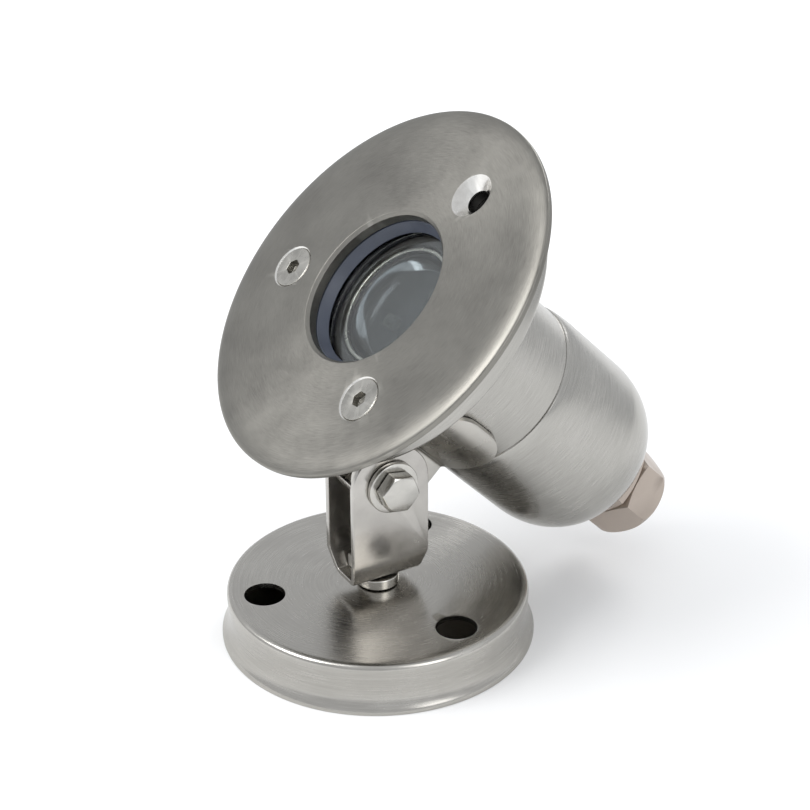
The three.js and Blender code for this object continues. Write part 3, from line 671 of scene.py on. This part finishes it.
def stamped(name, tree, sockets, places, sizes, material):
    """Runs a node tree on points in mm with a turn each, and keeps its result as a plain mesh."""
    mesh = bpy.data.meshes.new(name)
    mesh.from_pydata([place.to_translation() * MM for place in places], [], [])
    turns = mesh.attributes.new("turn", "FLOAT_VECTOR", "POINT")
    turns.data.foreach_set("vector", [angle for place in places for angle in place.to_euler()])
    piece = placed(name, mesh)
    nodes_made = piece.modifiers.new("made", "NODES")
    nodes_made.node_group = tree
    for label, value in {**sizes, "Material": material}.items():
        nodes_made[sockets[label]] = value
    return applied(piece)


washers, washer_sockets = washer_tree()
washer_places = []
for name in ("tilt_washer_near", "tilt_washer_far"):
    low, high = box_in_mm(name)
    washer_places.append(pivot_place @ Matrix.Translation((0, 0, (low.x + high.x) / 2)))
washer_sizes = {
    "Outer radius": high.y * MM,
    "Inner radius": 3.2 * MM,
    "Thickness": (high.x - low.x) * MM,
    "Edge": 0.25 * MM,
}
tilt_washers = stamped("tilt_washers", washers, washer_sockets, washer_places, washer_sizes, bright_steel)
clad(tilt_washers, bright_steel, "bracket", "tilt_washer_near", "tilt_washer_far", slot="bright_steel")

spring_low, spring_high = box_in_mm("tilt_spring_washer")
split_section = tube(bolt_way_radius, 5.9, spring_low.x, spring_high.x, (0.2, 0.2, 0.2, 0.2), 3)
split_washer = turned("split_washer", split_section, pivot_place, 72)
split_place = pivot_place @ Matrix.Rotation(2.3, 4, "Z")
split = block("split", (2, -0.5, spring_low.x - 1), (8, 0.5, spring_high.x + 1), split_place)
clad(machined(split_washer, [split]), bright_steel, "bracket", "tilt_spring_washer", slot="bright_steel")


# ---------------------------------------------------------------- head: its axis
# Everything on the head is turned about one axis, from the glass back to the cable seal. Its zero is
# the plane of the face ring's rim, and forward is positive.

glass_low, glass_high = box_in_mm("glass")
seal_low, seal_high = box_in_mm("gland_seal")
glass_middle = (glass_low + glass_high) / 2
forward = (glass_middle - (seal_low + seal_high) / 2).normalized()
across = Vector((1, 0, 0))
upward = forward.cross(across)
glass_setback = 7.7
head_origin = glass_middle + forward * glass_setback
head = Matrix((across, upward, forward)).transposed().to_4x4()
head.translation = head_origin
pivot_drop = 39.0
pivot_setback = 39.4


def on_head(x=0.0, y=0.0, turn=0.0):
    """A place beside the head's axis, in mm, turned about it."""
    return head @ Matrix.Translation((x, y, 0)) @ Matrix.Rotation(turn, 4, "Z")



# ---------------------------------------------------------------- face ring
# A thick stainless ring, faced and brushed on the lathe. Its rim is rolled over, its opening is
# chamfered, and three holes are countersunk for M6 screws.

face_radius = 55.0
roll_radius = 48.0
face_front = 1.05
face_back = -2.6
opening = 22.1
screw_circle = 35.1
screw_spots = around(3, screw_circle, math.radians(194.4))
face_profile = rounded(
    [(opening, face_back, 0.2), (opening, face_front - 0.9, 0.25), (opening + 0.9, face_front, 0.25)]
    + rings(24.5, 47, face_front, 9)
    + kept(arc(roll_radius, -0.2, face_radius - roll_radius, face_front + 0.2, 84, 0, 16))
    + [(face_radius, -1.5, 0.4), (face_radius - 2.6, face_back, 0.3)]
    + rings(51, 24, face_back, 9)
)
face_ring = turned("face_ring_turned", face_profile, head, 256)
screw_way = 3.35
sink_depth = 3.1
sink_profile = [
    (0, face_front + 1), (7.38, face_front + 1), (screw_way, face_front - sink_depth),
    (screw_way, face_back - 1), (0, face_back - 1),
]
sinks = [turned("sink", sink_profile, on_head(x, y), 72) for x, y, _ in screw_spots]
grain_round(machined(face_ring, sinks, edge=0.18), head)
face_lines = (14, 620)
face_tones = (0.175, 0.167, 0.151), (0.29, 0.281, 0.255)
face_steel = metal("brushed face", *face_tones, 0.38, 0.2, face_lines, 0.55, rubbed=0.7)
# The countersinks are painted far brighter than the face: a cut finish of their own, and painted highlight.
lit_sink_steel = metal("cut countersink", (0.62, 0.60, 0.57), (0.78, 0.77, 0.74), 0.22, 0.04, patch=200.0)
# Near black: painted shade in the screw holes and on the nuts behind them.
shade_painted_steel = metal("bore left by the drill", (0.035, 0.034, 0.032), (0.07, 0.068, 0.063), 0.45)
clad(face_ring, face_steel, "head", "face_ring", slot="brushed_face")
face_ring.data.materials.append(lit_sink_steel)
face_ring.data.materials.append(shade_painted_steel)
to_head = head.inverted() @ Matrix.Scale(1 / MM, 4)


def finished_holes(piece, lit_sink_index, shaded_bore_index, top):
    """Gives the faces inside the screw holes their own finishes: the sinks, brightened as painted highlight,
    then the bores under them, darkened as painted shade.
    """
    for face in piece.data.polygons:
        spot = to_head @ face.center
        near = min((spot.xy - Vector((x, y))).length for x, y, _ in screw_spots)
        if near < screw_way + 0.1:
            face.material_index = shaded_bore_index
        elif near < 6.45 and spot.z < top - 0.02 and lit_sink_index:
            face.material_index = lit_sink_index


finished_holes(face_ring, 1, 2, face_front)


# ---------------------------------------------------------------- face screws
# M6 countersunk screws with hexagon sockets. Two are fitted and the third hole is left open. Behind
# each hole a plain nut is welded to the collar.

screw_top = face_front - 0.1
screw_length = 13.0


def screw_master():
    """One countersunk screw on the origin, its head up."""
    tip, crest, root = screw_top - screw_length, 2.95, 2.5
    profile = [(0, screw_top), (5.75, screw_top), (5.9, screw_top - 0.12), (5.9, screw_top - 0.35)]
    profile += [(3, screw_top - sink_depth)]
    level = screw_top - sink_depth - 0.4
    while level - 1 > tip:
        profile += [(crest, level), (root, level - 0.45), (root, level - 0.6)]
        level -= 1
    screw = turned("screw_master", profile + [(root, tip), (0, tip)], sides=72)
    work = bmesh.new()
    bmesh.ops.create_cone(
        work, cap_ends=True, segments=6, radius1=2.31, radius2=2.31, depth=4,
        matrix=Matrix.Translation((0, 0, screw_top - 0.2)),
    )
    return machined(screw, [made("key", work, Matrix())], edge=0.1)


def copies_tree():
    """A node tree that puts a copy of one object on each point."""
    tree, sockets, start, end = new_tree("copies", [("Master", "Object")])
    info = tree.nodes.new("GeometryNodeObjectInfo")
    tree.links.new(start.outputs["Master"], info.inputs["Object"])
    copied(tree, start, end, info.outputs["Geometry"])
    return tree, sockets


copying, copying_sockets = copies_tree()


def copies_of(master, name, places, material):
    """A copy of a master on each place, without the master."""
    piece = stamped(name, copying, copying_sockets, places, {"Master": master}, material)
    bpy.data.objects.remove(master)
    return piece


screw_places = [on_head(x, y, a + 0.4 * i) for i, (x, y, a) in enumerate(screw_spots[:2])]
face_screws = copies_of(screw_master(), "face_screws", screw_places, bright_steel)
screw_steel = metal("screw steel", (0.33, 0.32, 0.295), (0.50, 0.485, 0.45), 0.27, 0.05, patch=180.0)
clad(face_screws, screw_steel, "head", "face_screw_1", "face_screw_2", slot="bright_steel")

nut_top = face_back - 0.3 - 2.4 - 0.3
nut = hexagon("nut_master", 10, nut_top - 5, nut_top, bore=3.2)
# The weld nuts are coloured near black as painted shade inside the holes.
weld_nuts = copies_of(nut, "weld_nuts", [on_head(x, y, a) for x, y, a in screw_spots], shade_painted_steel)
clad(weld_nuts, shade_painted_steel, "head", "weld_nut_1", "weld_nut_2", "weld_nut_3", slot="satin_steel")


# ---------------------------------------------------------------- collar and front tube
# The collar is spun from sheet and welded to the tube, with a recess turned in it that seats the glass.
# The seam is dressed, and the whole is polished with the can.

collar_front = face_back - 0.3
collar_sheet = 2.4
collar_floor = collar_front - collar_sheet
collar_radius = 45.9
collar_back = -13.4
can_radius = 25.4
can_wall = 0.9
seat_radius = 27.6
seat_floor = face_back - 0.3 - 3 - 0.3 - 3 - 0.3 - 0.8 - 0.3
seat_under = seat_floor - 1.6
tube_end = -58.0
collar_bore = collar_radius - collar_sheet
recess_radius = seat_radius + 1.6
tube_bore = can_radius - can_wall
seat_bore = 22.0
housing_profile = rounded(
    [(seat_radius, collar_front, 0.3), (collar_radius, collar_front, 1.4), (collar_radius, collar_back, 1.1)]
    + [(collar_bore, collar_back, 1.1), (collar_bore, collar_floor, 1.2), (recess_radius, collar_floor, 0.8)]
    + [(recess_radius, seat_under - 1.4, 2), (can_radius, seat_under - 2, 1.2), (can_radius, tube_end, 0.3)]
    + [(tube_bore, tube_end, 0.3), (tube_bore, seat_under, 0.5), (seat_bore, seat_under, 0.2)]
    + [(seat_bore, seat_floor, 0.2), (seat_radius, seat_floor, 0.2)]
)
housing = turned("collar_and_tube", housing_profile, head, 192)
drills = [
    rod("drill", 3.3, collar_floor - 1, collar_front + 1, on_head(x, y)) for x, y, _ in screw_spots
]
grain_round(machined(housing, drills), head)
can_tones = (0.33, 0.322, 0.30), (0.47, 0.457, 0.43)
can_steel = metal("polished can", *can_tones, 0.24, 0.08, (4, 200), 0.6, patch=45.0)
clad(housing, can_steel, "head", "housing", slot="satin_steel")
# The drilled holes are coloured near black as painted shade.
housing.data.materials.append(shade_painted_steel)
finished_holes(housing, 0, 1, collar_front)


# ---------------------------------------------------------------- rear cup
# A deep-drawn cup that laps over the tube and is welded there. Its end is rounded and bored for the
# gland, and it keeps faint rings from the drawing.

cup_start = -52.0
cup_straight_end = -83.0
cup_height = 19.6
cup_end = cup_straight_end - cup_height
cup_radius = can_radius + 0.3 + can_wall
cup_end_radius = 13.6
nose = cup_radius - cup_end_radius
cup_bore = 10.5
cup_mouth = [(0.03, 0.3), (0.3, 0.1), (0.55, -0.6), (0.8, -2)]
cup_profile = (
    [(can_radius + out, cup_start + up) for out, up in cup_mouth]
    + [(cup_radius - 0.2, cup_start - 4.4), (cup_radius - 0.05, cup_start - 7)]
    + arc(cup_end_radius, cup_straight_end, nose, cup_height, 0, -90, 28)
    + [(cup_bore, cup_end), (cup_bore, cup_end + can_wall)]
    + arc(cup_end_radius, cup_straight_end, nose - can_wall, cup_height - can_wall, -90, 0, 28)
    + [(cup_radius - can_wall, cup_start - 0.5), (can_radius + 0.03, cup_start - 0.2)]
)
rear_cup = grain_round(turned("rear_cup_drawn", cup_profile, head, 192), head)
clad(rear_cup, can_steel, "head", "rear_cup", slot="satin_steel")


# ---------------------------------------------------------------- saddle
# A narrow strip folded to a U that drops between the bracket's ears. Its ends spread, wrap the can and
# are spot welded to it, with their corners rounded.

saddle_sheet = 1.5
saddle_wrap = can_radius + 0.3 + saddle_sheet / 2
cheek = ear_outer - strip_thickness - 0.3 - saddle_sheet / 2
saddle_web = -(pivot_drop + 8.2 - saddle_sheet / 2)
saddle_reach = 64.0
cheek_angle = math.degrees(math.acos(cheek / saddle_wrap))
right_side = arc(0, 0, saddle_wrap, saddle_wrap, saddle_reach - 90, -cheek_angle, 28)
right_side.append((cheek, saddle_web))
saddle_line = right_side + [(-x, y) for x, y in right_side[::-1]]
saddle_place = on_head() @ Matrix.Translation((0, 0, -pivot_setback))
saddle = extruded("folded_saddle", bent(saddle_line, saddle_sheet, 1.6), strip_half * 2, "z", saddle_place)
corner = 9.0
trims = []
inner_wrap = saddle_wrap - saddle_sheet / 2
weld_x = inner_wrap * math.sin(math.radians(saddle_reach))
weld_y = -inner_wrap * math.cos(math.radians(saddle_reach))
web_y = -(pivot_drop + 8.2)
for end in (-1, 1):
    edge_z = end * (strip_half + 1)
    round_z = end * (strip_half - corner)
    for low, centre, start in ((web_y - 1, web_y + corner, -90), (1, -corner, 90)):
        bend = arc(round_z, centre, end * corner, corner, start, 0, 16)
        outline = [(low, edge_z), (low, round_z), *((y, z) for z, y in bend), (centre, edge_z)]
        if start < 0:
            trims.append(extruded("trim", outline, 2 * ear_outer, "x", saddle_place))
            continue
        for flank in (-1, 1):
            lie = Matrix.Translation((flank * weld_x, weld_y, 0))
            lie = lie @ Matrix.Rotation(math.radians(flank * (saddle_reach - 90)), 4, "Z")
            trims.append(extruded("trim", outline, 12, "x", saddle_place @ lie))
saddle_way = rod("way", bolt_way_radius, -8, 8, pivot_place)
machined(saddle, [*trims, saddle_way], edge=0.3)
saddle_steel = metal("saddle sheet", (0.33, 0.32, 0.295), (0.46, 0.445, 0.415), 0.27, 0.06, patch=90.0)
clad(saddle, saddle_steel, "head", "saddle", slot="satin_steel")
finished(bright_steel, nodes["pivot_sleeve"])


# ---------------------------------------------------------------- gasket, glass and lens
# A blue-grey rubber gasket, the clear glass and a seal lie in the collar's recess. Behind them a black
# holder carries a bright bezel and the clear moulded lens.

gasket_low, gasket_high = face_back - 0.3 - 3.0, face_back - 0.3
glass_front = gasket_low - 0.3
glass_rear = glass_front - 3.0


def plain_rubber(name, colour, rough):
    """A moulded rubber or matt plastic: fine pits and a slight bloom."""
    material, tree, shader = shaded(name, colour)
    pits, bloom = noise(tree, 1400), noise(tree, 70)
    lighter = tuple(value * 1.5 + 0.01 for value in colour)
    tone = ranged(tree, bloom.outputs["Fac"], 0, 1)
    tree.links.new(between(tree, tone, colour, lighter), shader.inputs["Base Color"])
    tree.links.new(ranged(tree, bloom.outputs["Fac"], rough - 0.06, rough + 0.08), shader.inputs["Roughness"])
    embossed(tree, shader, pits.outputs["Fac"], 0.15)
    return material


def clear(name, colour, index, rough=0.02, shine=0.5):
    """A clear material with the faintest smears."""
    material, tree, shader = shaded(name, colour)
    shader.inputs["Transmission Weight"].default_value = 1.0
    shader.inputs["IOR"].default_value = index
    shader.inputs["Specular IOR Level"].default_value = shine
    smear = noise(tree, 90)
    tree.links.new(ranged(tree, smear.outputs["Fac"], rough, rough + 0.05), shader.inputs["Roughness"])
    return material


gasket_rubber = plain_rubber("blue grey rubber", (0.045, 0.053, 0.073), 0.42)
black_rubber = plain_rubber("black rubber", (0.012, 0.012, 0.013), 0.6)
holder_plastic = plain_rubber("black holder plastic", (0.008, 0.008, 0.009), 0.38)
clear_glass = clear("toughened glass", (0.93, 0.97, 0.96), 1.5, 0.02, 0.3)
lens_plastic = clear("lens plastic", (0.30, 0.32, 0.345), 1.49, 0.05, 0.25)

gasket_profile = [(20.2, gasket_low, 0.2), (27.2, gasket_low, 0.2)]
gasket_profile += [(27.2, gasket_high, 0.2), (22.0, gasket_high, 0.3)]
gasket = turned("front_gasket_moulded", rounded(gasket_profile), head)
clad(gasket, gasket_rubber, "head", "front_gasket", slot="gasket_rubber")
glass_radius = 27.3
glass_edge = [(glass_radius, glass_rear, 0.5), (glass_radius, glass_front, 0.5)]
glass = turned("glass_disc", rounded([(0, glass_rear, 0), *glass_edge, (0, glass_front, 0)]), head)
clad(glass, clear_glass, "head", "glass", slot="clear_glass")

holder_top = glass_rear - 0.6
holder_bottom = holder_top - 13.5
holder_bore = 17.9
lens_seat = holder_bore - 0.3
bezel_width = 1.1
lens_rise = 2.2
lens_edge = holder_top + 0.1 - lens_rise
holder_step = lens_edge - 1.3
tube_fit = tube_bore - 0.3
holder_foot = holder_bottom + 1.6
holder_way = lens_seat - bezel_width - 0.6
holder_profile = rounded(
    [(holder_bore, holder_top, 0.5), (20.4, holder_top, 0.3), (20.4, holder_foot, 0.5)]
    + [(tube_fit, holder_foot, 0.3), (tube_fit, holder_bottom, 0.3), (holder_way, holder_bottom, 0.3)]
    + [(holder_way, holder_step, 0.2), (holder_bore, holder_step, 0.2)]
)
holder = turned("lens_holder_moulded", holder_profile, head)
clad(holder, holder_plastic, "head", "lens_holder", slot="black_plastic")
bezel_low = lens_edge + 0.3
bezel_section = tube(lens_seat - bezel_width, lens_seat, bezel_low, bezel_low + 1.2, (0.15, 0.15, 0.35, 0.35))
bezel = turned("lens_bezel_turned", bezel_section, head)
clad(bezel, screw_steel, "head", "lens_bezel", slot="bright_steel")

dome_radius = lens_seat - bezel_width - 0.3
skirt_radius = dome_radius - 0.8
lens_back = holder_bottom + 1.2 + 1.3 + 0.3
lens = turned(
    "lens_moulded",
    arc(0, lens_edge, dome_radius, lens_rise, 90, 0, 24)
    + [(lens_seat, lens_edge), (lens_seat, lens_edge - 1), (skirt_radius, lens_edge - 1)]
    + [(skirt_radius - 2.5, lens_back + 0.4), (skirt_radius - 2.9, lens_back), (0, lens_back)],
    head,
)
clad(lens, lens_plastic, "head", "lens", slot="clear_glass")
finished(black_rubber, nodes["rear_seal"])


# ---------------------------------------------------------------- LEDs, board and driver
# Three yellow-coated LEDs sit on a grey board that is screwed to a finned slug. The driver stands
# behind it on two brass pillars, with its coil and capacitor, and two leads join the boards.


def painted(name, colour, rough, speckle):
    """A coated or moulded part with small specks and an uneven gloss."""
    material, tree, shader = shaded(name, colour)
    specks = noise(tree, speckle, 3)
    darker = tuple(value * 0.82 for value in colour)
    tone = ranged(tree, specks.outputs["Fac"], 0, 1)
    tree.links.new(between(tree, tone, darker, colour), shader.inputs["Base Color"])

    dullness = ranged(tree, specks.outputs["Fac"], rough - 0.05, rough + 0.08)
    tree.links.new(dullness, shader.inputs["Roughness"])
    return material


led_coat = painted("phosphor coat", (0.50, 0.47, 0.38), 0.35, 2500)
white_mask = painted("grey board mask", (0.05, 0.05, 0.05), 0.4, 400)
green_mask = painted("green board mask", (0.02, 0.11, 0.05), 0.35, 400)
red_skin = painted("red insulation", (0.36, 0.03, 0.02), 0.45, 600)
coil_core = painted("coil core", (0.02, 0.02, 0.022), 0.55, 900)
cast_aluminium = metal("turned aluminium", (0.48, 0.49, 0.50), (0.66, 0.67, 0.68), 0.36)
pillar_brass = metal("pillar brass", (0.42, 0.36, 0.26), (0.60, 0.52, 0.38), 0.3, patch=200.0)

led_half = 1.7
chip = block("led_master", (-led_half, -led_half, holder_bottom), (led_half, led_half, holder_bottom + 1.2))
machined(chip, [], edge=0.15)
crown_radius = 1.3
crown_profile = [(0, holder_bottom + 1.15), (crown_radius, holder_bottom + 1.15)]
crown_profile += arc(0, holder_bottom + 1.2, crown_radius, 1.04, 0, 90, 12)
led = joined("led_master", chip, turned("crown", crown_profile, sides=40))
leds = copies_of(led, "leds", [on_head(x, y) for x, y, _ in around(3, 7.5, math.pi / 2)], led_coat)
clad(leds, led_coat, "head", "led_1", "led_2", "led_3", slot="led_amber")
for names, material in (
    (("led_board",), white_mask),
    (("driver_board",), green_mask),
    (("heat_sink",), cast_aluminium),
    (("standoff_1", "standoff_2"), pillar_brass),
    (("driver_inductor", "driver_capacitor"), coil_core),
    (("led_lead_red",), red_skin),
    (("led_lead_black",), black_rubber),
):
    finished(material, *(nodes[name] for name in names))


# ---------------------------------------------------------------- cable gland
# A nickel-plated brass gland. Its body clamps the can's end between a washer and a lock nut, and its
# dome nut squeezes a rubber seal onto the cable.

brass_tones = (0.235, 0.2, 0.172), (0.37, 0.32, 0.28)
plate_brass = metal("nickel plated brass", *brass_tones, 0.32, patch=120.0, rubbed=0.8)
washer_top = cup_end - 0.3
washer_bottom = washer_top - 1.2
hex_top = washer_bottom - 0.3
hex_bottom = hex_top - 5.6
neck_bottom = hex_bottom - 9.0
lock_low = cup_end + can_wall + 0.3
gland_flats = 24.0
gland_bore = 8.2
gland_thread = 10.2

end_section = tube(10.5, 13.3, washer_bottom, washer_top, (0.2, 0.4, 0.4, 0.2))
end_washer = turned("gland_end_washer", end_section, head)
clad(end_washer, black_rubber, "head", "gland_washer", slot="black_rubber")

gland_turn = on_head(turn=math.radians(-15))
hex_bore = gland_thread - 0.9
gland_hex = hexagon("gland_hex", gland_flats, hex_bottom, hex_top, gland_turn, bore=hex_bore, edge=0.3)
gland_crest = gland_thread - 0.05
neck = [(gland_bore, neck_bottom), (gland_thread - 0.6, neck_bottom)]
level = neck_bottom + 0.8
while level < lock_low + 5:
    if level < hex_bottom - 0.9 or level > hex_top:
        neck += [(gland_thread - 0.8, level), (gland_crest, level + 0.6), (gland_crest, level + 0.8)]
    level += 1.4
neck += [(gland_thread - 0.6, lock_low + 6), (gland_bore, lock_low + 6)]
gland_body = joined("gland_body_turned", gland_hex, turned("neck", neck, head, 96))
clad(gland_body, plate_brass, "head", "gland_body", slot="nickel_brass")

dome_top = hex_bottom - 0.3
dome_bottom = dome_top - 13.5
dome_side = gland_flats / math.sqrt(3) + 1
dome_round = 4.6
dome_rise = 5.5
blank_bottom = dome_bottom - 1
dome_nut = hexagon("dome_nut_turned", gland_flats, blank_bottom, dome_top, gland_turn, (False, True), edge=0)
dome = (
    [(0, dome_top + 1), (dome_side, dome_top + 1), (dome_side, dome_bottom + dome_rise)]
    + arc(dome_side - 1 - dome_round, dome_bottom + dome_rise, dome_round, dome_rise, 0, -90, 20)
    + [(0, dome_bottom)]
)
throat = [
    (0, dome_top + 1), (10.5, dome_top + 1), (10.5, neck_bottom - 0.3),
    (6.0, neck_bottom - 1.7), (6.0, dome_bottom - 1), (0, dome_bottom - 1),
]
machined(dome_nut, [turned("dome", dome, head, 96)], "INTERSECT")
machined(dome_nut, [turned("throat", throat, head, 96)], edge=0.25)
clad(dome_nut, plate_brass, "head", "gland_dome_nut", slot="nickel_brass")

seal_section = tube(4.6, 7.9, neck_bottom, neck_bottom + 10, (0.4, 0.3, 0.3, 0.3))
cable_seal = turned("cable_seal_moulded", seal_section, head, 64)
clad(cable_seal, black_rubber, "head", "gland_seal", slot="black_rubber")
finished(plate_brass, nodes["gland_lock_nut"])


# ---------------------------------------------------------------- studio
# A pale floor, a bright surround and soft lamps, with the camera at a low three-quarter angle.

floor_mesh = bpy.data.meshes.new("floor")
reach = 6.0
floor_mesh.from_pydata(
    [(-reach, -reach, 0), (reach, -reach, 0), (reach, reach, 0), (-reach, reach, 0)], [], [(0, 1, 2, 3)]
)
floor = placed("floor", floor_mesh)
floor_paint, _, floor_shader = shaded("floor paint", (0.9, 0.9, 0.9))
floor_shader.inputs["Roughness"].default_value = 0.9
finished(floor_paint, floor)

world = bpy.data.worlds.new("surround")
bpy.context.scene.world = world
world.use_nodes = True
surround = world.node_tree.nodes["Background"]
surround.inputs["Color"].default_value = (0.95, 0.97, 1.0, 1)
surround.inputs["Strength"].default_value = 0.8


def lamp(name, place, aim, size, power):
    """A soft rectangular lamp at a place, aimed at a point."""
    data = bpy.data.lights.new(name, "AREA")
    data.shape = "RECTANGLE"
    data.size, data.size_y = size
    data.energy = power
    light = placed(name, data)
    light.location = place
    light.rotation_euler = (Vector(aim) - Vector(place)).to_track_quat("-Z", "Y").to_euler()


middle = (0, 0.01, 0.07)
lamp("key", (-0.2, -0.9, 1.1), middle, (0.8, 0.6), 11)
lamp("fill", (1.1, 0.2, 0.7), middle, (0.5, 0.9), 4)
lamp("back", (-0.6, 1.0, 0.8), middle, (0.6, 0.6), 6)

view_turn = math.radians(59.68)
view_rise = math.radians(27.75)
view_distance = 0.56608
target = Vector((0.00717, 0.01166, 0.06947))
level_reach = math.cos(view_rise)
towards = Vector((math.sin(view_turn) * level_reach, -math.cos(view_turn) * level_reach, math.sin(view_rise)))
camera_data = bpy.data.cameras.new("camera")
camera_data.lens = 93.58
camera_data.shift_x = -0.0266
camera_data.shift_y = 0.0041
camera_data.clip_start = 0.01
camera = placed("camera", camera_data)
camera.location = target + towards * view_distance
camera.rotation_euler = (-towards).to_track_quat("-Z", "Y").to_euler()
bpy.context.scene.camera = camera
bpy.context.scene.view_settings.view_transform = "Standard"
